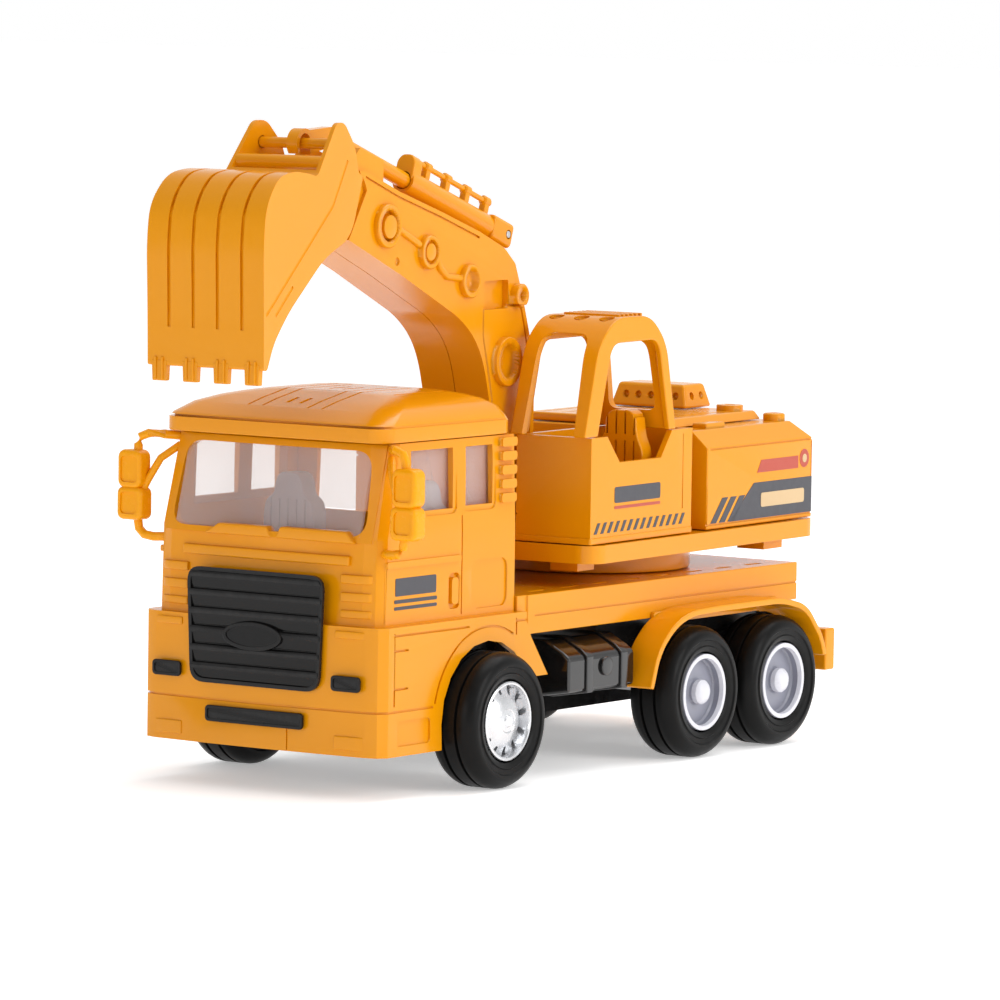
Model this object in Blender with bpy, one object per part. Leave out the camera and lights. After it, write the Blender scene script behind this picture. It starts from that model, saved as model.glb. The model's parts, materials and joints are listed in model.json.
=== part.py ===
"""Toy excavator on a three-axle truck.

A steerable-looking plastic truck (cab, flat deck, six wheels on three axles) carries a slewing
superstructure with an operator's cab, an engine housing and a gooseneck boom that ends in a bucket.
The front of the truck faces -Y, its left side faces +X, and the wheels stand on z = 0.
Sizes below are in millimetres; the meshes are made in metres.
"""
import math

import bmesh
import bpy
from mathutils import Matrix, Vector

MM = 0.001

# Driving dimensions -------------------------------------------------------------------------------
GAP = 0.3                       # clearance kept between neighbouring pieces
WALL = 2.0                      # thickness of the moulded shells

TYRE_R = 21.0
TYRE_W = 17.0
TRACK_HALF = 55.5               # outer face of the tyres
RIM_R = 12.5
AXLE_R = 1.5
AXLES_Y = {"front": -44.3, "middle": 63.8, "rear": 109.9}

CAB_HALF = 42.5                 # upper cab
SKIRT_HALF = 45.7               # lower cab
CAB_FRONT = -100.0
CAB_BACK = -25.0
SKIRT_Z = (13.3, 52.5)
CAB_TOP = 107.3
DECK_HALF = 44.0
DECK_Z = (45.0, 57.2)
DECK_Y = (-24.6, 133.6)
CHASSIS_TOP = 54.1

ORIGIN_SHIFT = -2.1             # moves everything so that the origin is under the middle of the box

SLEW_Y = 77.0                   # slew axis on the truck
SLEW_REST = 3.0                 # degrees the superstructure is turned at rest
RING_Z = (57.5, 64.7)
PLATFORM_Z = (65.0, 70.7)
FLOOR_Z = 71.0                  # underside of what stands on the platform

# Superstructure positions count from the slew axis: (y, z) pairs in its own turned frame.
BOOM_PIVOT = (-66.0, 90.0)
BUCKET_PIVOT = (-161.0, 180.0)
CYLINDER_PIVOT = (-58.0, 166.0)
ROD_EYE = (-170.4, 196.9)
BOOM_HALF = 12.2
BOOM_TIP_HALF = 11.0            # the boom is narrower between the bucket's cheeks
BOOM_SCREW = (-71.9, 127.0)     # joins the two boom shells, from the right
PIN_R = 1.7

# Colours: linear base colour, roughness, metallic, alpha --------------------------------------------
YELLOW = ((0.86, 0.36, 0.03), 0.32, 0.0, 1.0)
BLACK = ((0.035, 0.033, 0.032), 0.45, 0.0, 1.0)
RUBBER = ((0.02, 0.02, 0.02), 0.75, 0.0, 1.0)
SILVER = ((0.72, 0.73, 0.76), 0.25, 0.9, 1.0)
PALE_GREY = ((0.42, 0.43, 0.50), 0.4, 0.0, 1.0)
STEEL = ((0.6, 0.6, 0.6), 0.3, 1.0, 1.0)
CLEAR = ((0.9, 0.85, 0.83), 0.1, 0.0, 0.35)


# Scene, materials and placing -----------------------------------------------------------------------
def clear_scene():
    for old in list(bpy.data.objects):
        bpy.data.objects.remove(old, do_unlink=True)


def give_material(piece, look):
    colour, roughness, metallic, alpha = look
    material = bpy.data.materials.new(piece.name + "_material")
    material.use_nodes = True
    shader = material.node_tree.nodes["Principled BSDF"]
    shader.inputs["Base Color"].default_value = (*colour, 1.0)
    shader.inputs["Roughness"].default_value = roughness
    shader.inputs["Metallic"].default_value = metallic
    shader.inputs["Alpha"].default_value = alpha
    piece.data.materials.append(material)


def make_empty(name, parent, place, turn=0.0):
    """An empty on a joint's axis; place is in millimetres in the parent's frame."""
    empty = bpy.data.objects.new(name, None)
    bpy.context.scene.collection.objects.link(empty)
    empty.parent = parent
    empty.location = Vector(place) * MM
    if parent is None:
        empty.location.y += ORIGIN_SHIFT * MM
    empty.rotation_euler.z = math.radians(turn)
    return empty


def as_object(name, mesh_builder):
    """Turn a bmesh in millimetres into a linked object in metres with its faces pointing out."""
    bmesh.ops.recalc_face_normals(mesh_builder, faces=mesh_builder.faces)
    bmesh.ops.scale(mesh_builder, vec=(MM, MM, MM), verts=mesh_builder.verts)
    mesh = bpy.data.meshes.new(name)
    mesh_builder.to_mesh(mesh)
    mesh_builder.free()
    piece = bpy.data.objects.new(name, mesh)
    bpy.context.scene.collection.objects.link(piece)
    return piece


def finish_piece(piece, look, parent=None, offset=(0.0, 0.0, 0.0), smooth=False):
    """Colour a piece and hang it on an empty whose own place is the negative of offset."""
    give_material(piece, look)
    if smooth:
        piece.data.shade_smooth()
        piece.data.set_sharp_from_angle(angle=math.radians(35.0))
    piece.parent = parent
    piece.location = Vector(offset) * MM
    if parent is None:
        piece.location.y += ORIGIN_SHIFT * MM
    return piece


def combine(piece, tool, operation):
    """Apply one Boolean of piece with tool, and remove the tool."""
    modifier = piece.modifiers.new("combine", "BOOLEAN")
    modifier.operation = operation
    modifier.solver = "EXACT"
    modifier.object = tool
    bpy.context.view_layer.update()
    evaluated = piece.evaluated_get(bpy.context.evaluated_depsgraph_get())
    result = bpy.data.meshes.new_from_object(evaluated)
    piece.modifiers.remove(modifier)
    piece.data = result
    result.name = piece.name
    bpy.data.objects.remove(tool, do_unlink=True)
    return piece


def cut(piece, *tools):
    for tool in tools:
        combine(piece, tool, "DIFFERENCE")
    return piece


def weld(piece, *tools):
    for tool in tools:
        combine(piece, tool, "UNION")
    return piece


# Solids -------------------------------------------------------------------------------------------
AXES = {"x": (1, 2, 0), "y": (0, 2, 1), "z": (0, 1, 2)}


def point_on(axis, first, second, along):
    """A point from two in-plane coordinates and one along the axis."""
    place = [0.0, 0.0, 0.0]
    in_plane_1, in_plane_2, out = AXES[axis]
    place[in_plane_1] = first
    place[in_plane_2] = second
    place[out] = along
    return place


def prism(name, axis, outline, low, high):
    """Extrude a closed outline (in the plane across the axis) from low to high."""
    builder = bmesh.new()
    rings = [[builder.verts.new(point_on(axis, a, b, level)) for a, b in outline] for level in (low, high)]
    count = len(outline)
    for i in range(count):
        j = (i + 1) % count
        builder.faces.new((rings[0][i], rings[0][j], rings[1][j], rings[1][i]))
    builder.faces.new(rings[0])
    builder.faces.new(rings[1])
    return as_object(name, builder)


def box(name, low, high):
    outline = [(low[0], low[1]), (high[0], low[1]), (high[0], high[1]), (low[0], high[1])]
    return prism(name, "z", outline, low[2], high[2])


def loft(name, rings):
    """Skin matching rings of 3-D points and close both ends."""
    builder = bmesh.new()
    rows = [[builder.verts.new(place) for place in ring] for ring in rings]
    count = len(rows[0])
    for lower, upper in zip(rows, rows[1:]):
        for i in range(count):
            j = (i + 1) % count
            builder.faces.new((lower[i], lower[j], upper[j], upper[i]))
    builder.faces.new(rows[0])
    builder.faces.new(rows[-1])
    return as_object(name, builder)


def lathe(name, axis, centre, profile, segments, closed=True):
    """Turn a profile of (radius, along) points round the axis through centre; radius 0 is a pole."""
    builder = bmesh.new()
    in_plane_1, in_plane_2, out = AXES[axis]
    rows = []
    for radius, along in profile:
        row = []
        for step in range(1 if radius == 0 else segments):
            angle = (step + 0.5) * 2 * math.pi / segments - math.pi / 2
            place = list(centre)
            place[in_plane_1] += radius * math.cos(angle)
            place[in_plane_2] += radius * math.sin(angle)
            place[out] += along
            row.append(builder.verts.new(place))
        rows.append(row)
    pairs = list(zip(rows, rows[1:]))
    if closed:
        pairs.append((rows[-1], rows[0]))
    for first, second in pairs:
        for i in range(segments):
            j = (i + 1) % segments
            corners = [first[i % len(first)], first[j % len(first)],
                       second[j % len(second)], second[i % len(second)]]
            unique = list(dict.fromkeys(corners))
            if len(unique) > 2:
                builder.faces.new(unique)
    return as_object(name, builder)


def rod(name, axis, centre, radius, low, high, segments=12):
    profile = [(0, low), (radius, low), (radius, high), (0, high)]
    return lathe(name, axis, centre, profile, segments, closed=False)


def arc(centre, radius, start, end, steps):
    """Points on an arc in degrees, both ends included."""
    points = []
    for step in range(steps + 1):
        angle = math.radians(start + (end - start) * step / steps)
        points.append((centre[0] + radius * math.cos(angle), centre[1] + radius * math.sin(angle)))
    return points


def rounded_rectangle(low, high, radius, steps=3):
    """A rectangle outline with round corners, running anticlockwise."""
    corners = [(high[0] - radius, low[1] + radius, -90), (high[0] - radius, high[1] - radius, 0),
               (low[0] + radius, high[1] - radius, 90), (low[0] + radius, low[1] + radius, 180)]
    outline = []
    for x, y, start in corners:
        outline += arc((x, y), radius, start, start + 90, steps)
    return outline


# Truck: wheels --------------------------------------------------------------------------------------
def build_axle(place, axle_y):
    """One axle with a rim and a tyre at each end, turning together about the axle's line."""
    hub = make_empty(place + "_axle_axis", None, (0, axle_y, TYRE_R))
    segments = 20
    tread_r = TYRE_R / math.cos(math.pi / segments)
    inner_x = TRACK_HALF - TYRE_W
    tyre_profile = [(RIM_R + GAP, inner_x + 0.8), (19.2, inner_x), (tread_r, inner_x + 2.1),
                    (tread_r, TRACK_HALF - 2.1), (19.2, TRACK_HALF), (RIM_R + GAP, TRACK_HALF - 0.6)]
    rim_profile = [(AXLE_R + GAP, 41.0), (AXLE_R + GAP, 50.0), (0, 50.0), (0, 54.9), (3.4, 54.5), (4.4, 51.8),
                   (11.0, 51.4), (11.9, 54.2), (RIM_R, 54.2), (RIM_R, 41.0)]
    look = SILVER if place == "front" else PALE_GREY
    finish_piece(rod(place + "_axle_rod", "x", (0, 0, 0), AXLE_R, -49.6, 49.6, 10), STEEL, hub, smooth=True)
    for side, sign in (("left", 1), ("right", -1)):
        tyre = lathe(f"{place}_tyre_{side}", "x", (0, 0, 0), [(r, sign * x) for r, x in tyre_profile], segments)
        finish_piece(tyre, RUBBER, hub, smooth=True)
        mirrored = [(r, sign * x) for r, x in rim_profile]
        rim = lathe(f"{place}_rim_{side}", "x", (0, 0, 0), mirrored, 16)
        finish_piece(rim, look, hub, smooth=True)


# Truck: chassis, deck, fenders ------------------------------------------------------------------------
SCREWS_Y = {"front": -72.0, "rear": 88.0}


def build_chassis():
    section = [(-16, 14.5), (16, 14.5), (16, 40), (30, 40), (30, CHASSIS_TOP), (-30, CHASSIS_TOP),
               (-30, 40), (-16, 40)]
    chassis = prism("chassis", "y", section, -92.0, 130.8)
    for axle_y in AXLES_Y.values():
        cut(chassis, rod("tool", "x", (0, axle_y, TYRE_R), AXLE_R + 0.5, -20, 20, 12))
    for screw_y in SCREWS_Y.values():
        cut(chassis, rod("tool", "z", (0, screw_y, 0), 2.6, 13, 16.4, 10))
    cut(chassis, box("tool", (-14, -90, 17.4), (14, 128.8, 60)), box("tool", (-28, -90, 42), (28, 128.8, 60)))
    finish_piece(chassis, BLACK)
    for place, screw_y in SCREWS_Y.items():
        finish_piece(rod(f"chassis_screw_{place}", "z", (0, screw_y, 0), 2.2, 14.8, 16.0, 10), STEEL)


def build_deck():
    tongue = DECK_HALF - 0.6
    step_y = DECK_Y[0] + 4.9
    plan = [(-tongue, DECK_Y[0]), (tongue, DECK_Y[0]), (tongue, step_y), (DECK_HALF, step_y),
            (DECK_HALF, DECK_Y[1]), (-DECK_HALF, DECK_Y[1]), (-DECK_HALF, step_y), (-tongue, step_y)]
    deck = prism("flatbed_deck", "z", plan, *DECK_Z)
    inner = DECK_HALF - 2.6
    ceiling = CHASSIS_TOP + GAP
    cut(deck, box("tool", (-inner, DECK_Y[0] + 2.4, 40), (inner, DECK_Y[1] - 2.4, ceiling)),
        box("tool", (-30.4, DECK_Y[0] - 5, 40), (30.4, DECK_Y[0] + 5, ceiling)))
    finish_piece(deck, YELLOW)

    ring = lathe("turntable_ring", "z", (0, SLEW_Y, 0),
                 [(12, RING_Z[0]), (33, RING_Z[0]), (33, RING_Z[1]), (12, RING_Z[1])], 24)
    finish_piece(ring, YELLOW, smooth=True)
    pivot = lathe("slew_pivot_screw", "z", (0, SLEW_Y, 0),
                  [(0, 57.5), (3.5, 57.5), (3.5, 71.0), (7.0, 71.0), (7.0, 72.6), (0, 72.6)], 16, closed=False)
    finish_piece(pivot, STEEL, smooth=True)


FENDER_LINE = [(32.1, 24.9), (36.2, 36.6), (45.6, 44.7), (55.7, 47.8), (73.0, 48.2), (108.0, 48.2),
               (122.6, 44.8), (132.4, 34.0), (134.6, 28.0)]


def inset_line(line, depth):
    """An open polyline moved sideways by depth, towards its right-hand side."""
    moved = []
    for i, here in enumerate(line):
        before = Vector(line[max(i - 1, 0)])
        after = Vector(line[min(i + 1, len(line) - 1)])
        along = (after - before).normalized()
        moved.append((here[0] + along.y * depth, here[1] - along.x * depth))
    return moved


def build_fenders():
    outline = FENDER_LINE + list(reversed(inset_line(FENDER_LINE, WALL)))
    for side, sign in (("left", 1), ("right", -1)):
        span = sorted((sign * (DECK_HALF + GAP), sign * TRACK_HALF))
        finish_piece(prism(f"rear_fender_{side}", "x", outline, *span), YELLOW)

    bumper = prism("rear_bumper", "z",
                   [(-50, 142.4), (50, 142.4), (50, 148), (-50, 148)], 21.3, 35.0)
    weld(bumper, box("tool", (-14, 132.6, 23), (14, 143, 33)))
    finish_piece(bumper, YELLOW)


def build_tanks():
    outline = [(24, 24.5), (37.6, 24.0), (50.0, 26.0), (50.0, 36.5), (47.5, 38.5), (41.0, 42.0), (30.4, 42.0),
               (30.4, 39.6), (24, 39.6)]
    for side, sign in (("left", 1), ("right", -1)):
        section = [(sign * x, z) for x, z in outline]
        finish_piece(prism(f"fuel_tank_{side}", "y", section, -5.5, 30.8), BLACK)


# Truck: cab -------------------------------------------------------------------------------------------
def cab_plan(half, front, crown, back, z):
    """A cab cross-section: a gently crowned front with cut corners, a flat back."""
    right = [(half, front + 5.2), (half - 2.0, front + 2.4), (half - 6.0, front + 1.2), (half * 0.5, front + 0.3)]
    middle = [(0.0, front - crown)]
    left = [(-x, y) for x, y in reversed(right)]
    ring = [(half, back)] + right + middle + left + [(-half, back)]
    return [(x, y, z) for x, y in ring]


def build_cab_shell():
    skirt = loft("cab_shell", [cab_plan(SKIRT_HALF, CAB_FRONT + 0.2, 0.2, 0.0, z) for z in SKIRT_Z])
    slope = [(8.0, 32.0), (-10.7, 32.0), (-20.0, 44.4), (-22.5, 49.2), (-22.5, 60.0), (8.0, 60.0)]
    foot = [(8.0, 33.0), (8.0, 5.0), (-25.0, 5.0), (-25.0, 32.0), (-10.7, 32.0)]
    cut(skirt, prism("tool", "x", slope, -60, 60), prism("tool", "x", foot, -60, 60))
    weld(skirt, loft("tool", [cab_plan(CAB_HALF, CAB_FRONT + 2.6, 0.2, CAB_BACK, 50.0),
                              cab_plan(CAB_HALF, CAB_FRONT + 3.4, 0.2, CAB_BACK, 79.0),
                              cab_plan(CAB_HALF - 1.0, CAB_FRONT + 10.4, 0.2, CAB_BACK, CAB_TOP)]))
    lower_half = SKIRT_HALF - WALL
    upper_half = CAB_HALF - WALL
    cut(skirt,
        loft("tool", [cab_plan(lower_half, CAB_FRONT + 3.0, 0.0, 10.0, z) for z in (5.0, 50.5)]),
        loft("tool", [cab_plan(upper_half, CAB_FRONT + 5.4, 0.0, CAB_BACK - WALL, 45.0),
                      cab_plan(upper_half, CAB_FRONT + 6.2, 0.0, CAB_BACK - WALL, 79.0),
                      cab_plan(upper_half - 1.0, CAB_FRONT + 13.6, 0.0, CAB_BACK - WALL, CAB_TOP + 2.0)]))
    chassis_room = box("tool", (-30.4, -30, 40), (30.4, 0, CHASSIS_TOP + GAP))
    cut(skirt, chassis_room, box("tool", (-lower_half, CAB_BACK, 40), (lower_half, 0, 60)))
    arch = [(-20.0, 0.0)] + arc((-43.0, 21.0), 24.0, 0, 180, 10) + [(-66.0, 0.0)]
    cut(skirt, prism("tool", "x", arch, -60, 60))
    cut(skirt, prism("tool", "y", [(-37.3, 79.0), (37.3, 79.0), (35.4, 105.2), (-35.4, 105.2)], -120, -80),
        prism("tool", "y", [(-33, 80.0), (33, 80.0), (32, 103.5), (-32, 103.5)], -40, 0),
        box("tool", (-60, -79.0, 86.3), (60, -57.3, 104.8)),
        box("tool", (-60, -50.6, 86.6), (60, -36.5, 104.7)))
    finish_piece(skirt, YELLOW)


def build_cab_roof():
    def outline(half, front, back, z_front, z_back):
        corner = 5.0
        ring = [(half, back), (half, front + corner), (half - corner, front), (-half + corner, front),
                (-half, front + corner), (-half, back)]
        drop = (z_back - z_front) / (back - front)
        return [(x, y, z_front + drop * (y - front)) for x, y in ring]
    outer = [outline(42.3, -94.2, -25.0, 107.6, 107.6), outline(42.3, -93.0, -25.0, 111.4, 112.6),
             outline(38.5, -84.0, -26.0, 116.6, 116.6), outline(30.0, -72.0, -30.0, 119.2, 118.6),
             outline(20.0, -66.0, -36.0, 120.6, 120.6)]
    inner = [outline(40.0, -91.6, -27.4, 105.0, 105.0), outline(40.0, -91.0, -27.4, 110.2, 110.8),
             outline(30.0, -78.0, -31.0, 116.4, 116.2)]
    finish_piece(cut(loft("cab_roof", outer), loft("tool", inner)), YELLOW)


def build_glazing():
    glass = 1.2
    lean = 7.0 / 26.2
    bottom, top = 79.3, 104.9
    front_low = CAB_FRONT + 4.3
    front_high = front_low + lean * (top - bottom)
    slab = [(front_low, bottom), (front_low + glass, bottom), (front_high + glass, top), (front_high, top)]
    pane = prism("windscreen", "x", slab, -34.9, 34.9)
    finish_piece(pane, CLEAR)
    rear = box("rear_window", (-31.6, CAB_BACK - 1.6, 80.4), (31.6, CAB_BACK - 0.4, 103.1))
    finish_piece(rear, CLEAR)
    for side, sign in (("left", 1), ("right", -1)):
        span = sorted((sign * (CAB_HALF - 4.2), sign * (CAB_HALF - 3.3)))
        pane = box(f"side_glazing_{side}", (span[0], -81.0, 84.3), (span[1], -34.5, 106.0))
        finish_piece(pane, CLEAR)


def build_cab_fittings():
    interior = box("cab_interior", (-38, -86, CHASSIS_TOP + GAP), (38, -28, 57.0))
    for sign in (1, -1):
        seat = sorted((sign * 14.0, sign * 34.0))
        weld(interior, box("tool", (seat[0], -66, 56), (seat[1], -38, 67)),
             prism("tool", "y", rounded_rectangle((seat[0], 60.0), (seat[1], 93.6), 7.0), -47, -39))
    finish_piece(interior, PALE_GREY)

    grille = prism("front_grille", "y", [(-24.5, 32), (24.5, 32), (26, 67.5), (-26, 67.5)], -101.6, -100.3)
    for step in range(4):
        z = 38.2 + 6.6 * step
        cut(grille, box("tool", (-30, -103, z), (30, -101.0, z + 0.9)))
    finish_piece(grille, BLACK)
    for side, sign in (("left", 1), ("right", -1)):
        span = sorted((sign * 28.6, sign * 39.4))
        lamp = box(f"lamp_insert_{side}", (span[0], -100.9, 33.0), (span[1], -99.9, 37.8))
        finish_piece(lamp, BLACK)
    finish_piece(box("bumper_intake", (-18.5, -101.4, 20.3), (18.5, -100.3, 25.3)), BLACK)

    for side, sign in (("left", 1), ("right", -1)):
        def spot(x, y, z):
            return (sign * x, y, z)
        def bar(low, high):
            ends = (spot(*low), spot(*high))
            return box("tool", tuple(map(min, *ends)), tuple(map(max, *ends)))
        mirror = bar((46, -97.6, 79), (57, -91.0, 89.4))
        mirror.name = f"side_mirror_{side}"
        weld(mirror, bar((47, -97.0, 89.0), (56.6, -91.6, 101)), bar((42.4, -95.4, 104.6), (51, -92.8, 107.0)),
             bar((48.6, -95.4, 100), (51, -92.8, 106)), bar((43.0, -95.4, 74), (50.8, -92.8, 76.4)),
             bar((48.4, -95.4, 75), (50.8, -92.8, 80)))
        finish_piece(mirror, YELLOW)


# Superstructure -----------------------------------------------------------------------------------------
def build_platform(slew):
    plate = prism("slewing_platform", "z", rounded_rectangle((-46, -72), (46, 69), 6.0), *PLATFORM_Z)
    weld(plate, box("tool", (24, -62, 61.5), (34, -52, 66)), box("tool", (-34, -62, 61.5), (-24, -52, 66)),
         box("tool", (30, 44, 61.5), (40, 56, 66)), box("tool", (-40, 44, 61.5), (-30, 56, 66)))
    cut(plate, rod("tool", "z", (0, 0, 0), 4.2, 60, 75, 16))
    finish_piece(plate, YELLOW, slew)


def build_operator_cab(slew):
    low, high = (16.5, -71.0, FLOOR_Z), (44.0, -9.5, 104.4)
    tub = box("operator_cab_base", low, high)
    cut(tub, box("tool", (low[0] + WALL, low[1] + WALL, low[2] + WALL), (high[0] - WALL, high[1] - WALL, 120)))
    notch = [(-61.3, 110), (-61.3, 104.2), (-53.8, 96), (-28.8, 96), (-22.3, 104.2), (-22.3, 110)]
    cut(tub, prism("tool", "x", notch, 40, 50))
    finish_piece(tub, YELLOW, slew)

    outer = [(-19.8, 104.7), (-25.7, 131.5), (-33.9, 139.2), (-43.1, 141.3), (-58.2, 139.2), (-65.2, 133.3),
             (-72.4, 116.5), (-75.0, 104.7)]
    inner = [(-22.0, 100.0), (-27.6, 130.4), (-34.9, 137.0), (-43.2, 138.9), (-57.4, 137.0), (-63.3, 132.0),
             (-70.2, 116.0), (-73.4, 100.0)]
    window = [(-22.6, 100.0), (-25.2, 117.3), (-30.6, 133.3), (-59.8, 133.0), (-67.6, 104.0), (-68.0, 100.0)]
    frame = prism("operator_cab_frame", "x", outer, 16.5, 44.0)
    cut(frame, prism("tool", "x", inner, 18.6, 41.9), prism("tool", "x", window, 10, 50),
        prism("tool", "y", [(22.0, 100), (38.5, 100), (37.6, 133.0), (23.0, 133.0)], -80, -55),
        prism("tool", "y", [(22.6, 112.5), (38.4, 112.5), (37.6, 130.0), (23.4, 130.0)], -40, -10))
    finish_piece(frame, YELLOW, slew)

    seat = box("operator_seat", (22, -52, 73.3), (39, -26, 86))
    weld(seat, prism("tool", "x", [(-32, 80), (-26, 80), (-24.6, 111), (-29.0, 111)], 22, 39))
    finish_piece(seat, YELLOW, slew)


def build_engine_bay(slew):
    def section(half, low, shoulder, top, flat):
        return [(-half, low), (half, low), (half, shoulder), (flat, top), (-flat, top), (-half, shoulder)]
    housing = prism("engine_housing", "y", section(44.0, FLOOR_Z, 97.2, 102.5, 38.0), 0.3, 68.0)
    cut(housing, prism("tool", "y", section(42.0, 60.0, 96.4, 100.5, 37.0), 2.3, 63.0),
        prism("tool", "x", [(62.0, 104), (69.0, 104), (69.0, 95.5)], -60, 60),
        rod("tool", "z", (0, 0, 0), 8.4, 60, 75, 16))
    finish_piece(housing, YELLOW, slew)
    cover = prism("engine_cover", "y", [(-29, 102.8), (29, 102.8), (26.5, 105.5), (-26.5, 105.5)], 4.0, 60.0)
    finish_piece(cover, YELLOW, slew)
    filter_box = loft("air_filter_box", [
        [(-20, 45, 105.8), (9, 45, 105.8), (9, 62, 105.8), (-20, 62, 105.8)],
        [(-18, 47, 113.5), (7, 47, 113.5), (7, 60, 113.5), (-18, 60, 113.5)]])
    finish_piece(filter_box, YELLOW, slew)
    side_box = loft("tool_box_right", [
        [(-44, -71, FLOOR_Z), (-16.5, -71, FLOOR_Z), (-16.5, -9.5, FLOOR_Z), (-44, -9.5, FLOOR_Z)],
        [(-44, -71, 97), (-16.5, -71, 97), (-16.5, -9.5, 97), (-44, -9.5, 97)],
        [(-41, -68, 101), (-19.5, -68, 101), (-19.5, -12.5, 101), (-41, -12.5, 101)]])
    finish_piece(side_box, YELLOW, slew)


def build_boom_bracket(slew):
    bracket = box("boom_bracket", (-15.4, -80, FLOOR_Z), (15.4, -52, 73.6))
    cheek = [(-79, 72), (-53, 72), (-58, 93), (-61, 96.5), (-71, 96.5), (-74, 93)]
    weld(bracket, prism("tool", "x", cheek, 12.8, 15.4), prism("tool", "x", cheek, -15.4, -12.8))
    cut(bracket, rod("tool", "x", (0, *BOOM_PIVOT), PIN_R + GAP, -20, 20, 12))
    finish_piece(bracket, YELLOW, slew)
    finish_piece(rod("boom_pivot_pin", "x", (0, *BOOM_PIVOT), PIN_R, -15.8, 15.8, 10), STEEL, slew, smooth=True)


# Boom, bucket and cylinder --------------------------------------------------------------------------------
def boom_outline(skin):
    """The gooseneck's side outline; skin is how far it is drawn in from the outer surface."""
    under = [(-163.0, 168.4), (-132.2, 156.2), (-115.1, 148.8), (-97.7, 141.3), (-88.9, 134.4), (-84.0, 126.4),
             (-80.8, 115.3), (-77.5, 98.0)]
    foot = [(-73.0, 84.0), (-67.0, 80.5), (-60.0, 82.5), (-56.5, 90.0)]
    back = [(-54.4, 104.0), (-54.3, 118.7), (-57.2, 134.0), (-60.4, 143.0), (-63.6, 151.0), (-66.5, 157.5),
            (-73.0, 162.6)]
    top = [(-87.2, 168.0), (-110.0, 175.0), (-133.5, 181.7), (-141.3, 184.4), (-153.0, 188.6)]
    tip = [(-165.5, 188.6), (-169.6, 183.0), (-168.5, 174.6)]
    ring = under + foot + back + top + tip
    if skin == 0:
        return ring
    inner = []
    count = len(ring)
    for i, here in enumerate(ring):
        before = Vector(ring[i - 1])
        after = Vector(ring[(i + 1) % count])
        along = (after - before).normalized()
        inner.append((here[0] - along.y * skin, here[1] + along.x * skin))
    return inner


def build_boom(lift, offset):
    for side, sign in (("left", 1), ("right", -1)):
        def across(name, outline, near, far):
            return prism(name, "x", outline, *sorted((sign * near, sign * far)))
        half = across(f"boom_shell_{side}", boom_outline(0), GAP / 2, BOOM_HALF)
        cut(half, across("tool", boom_outline(WALL), -5.0, BOOM_TIP_HALF - WALL))
        weld(half, across("tool", arc(BOOM_PIVOT, 5.5, 0, 330, 11), GAP / 2, BOOM_TIP_HALF - 1),
             across("tool", arc(BUCKET_PIVOT, 4.6, 0, 330, 11), GAP / 2, BOOM_TIP_HALF - 1))
        cheek_room = [(-157.5, 192.0)] + arc(BUCKET_PIVOT, 9.5, 55, 15, 4) + [
            (-162.6, 166.0), (-175.0, 160.0), (-175.0, 192.0)]
        cut(half, across("tool", cheek_room, BOOM_TIP_HALF, 20))
        lug = [(-157.0, 183.0), (-141.0, 179.5), (-141.0, 191.5), (-154.0, 195.4), (-157.0, 193.0)]
        weld(half, across("tool", lug, 7.4, BOOM_TIP_HALF))
        cut(half, rod("tool", "x", (0, *BOOM_PIVOT), PIN_R + GAP, -20, 20, 12),
            rod("tool", "x", (0, *BUCKET_PIVOT), PIN_R + GAP, -20, 20, 12))
        if sign == 1:
            rear_lug = [(-70.0, 155.0), (-61.5, 158.6), (-54.6, 164.4), (-54.6, 168.0), (-57.6, 169.4),
                        (-60.5, 168.6), (-62.0, 165.0), (-63.6, 161.0), (-74.0, 160.2)]
            weld(half, prism("tool", "x", rear_lug, GAP / 2, 2.2))
            cut(half, rod("tool", "x", (0, *CYLINDER_PIVOT), 1.5, -20, 20, 10))
        finish_piece(half, YELLOW, lift, offset)
    finish_piece(rod("boom_screw", "x", (0, *BOOM_SCREW), 3.2, -13.7, -12.5, 10), STEEL, lift, offset)
    finish_piece(rod("cylinder_pivot_pin", "x", (0, *CYLINDER_PIVOT), 1.2, -4.3, 4.3, 10), STEEL, lift, offset,
                 smooth=True)


def bucket_half_width(y, skin=0.0):
    """The bucket narrows in plan from its front shell to its ears."""
    return 21.0 - 0.12 * (y + 220.0) - skin


def bucket_wedge(skin, z_low, z_high):
    front, back = -226.0, -140.0
    a, b = bucket_half_width(front, skin), bucket_half_width(back, skin)
    return prism("tool", "z", [(-a, front), (a, front), (b, back), (-b, back)], z_low, z_high)


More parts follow.
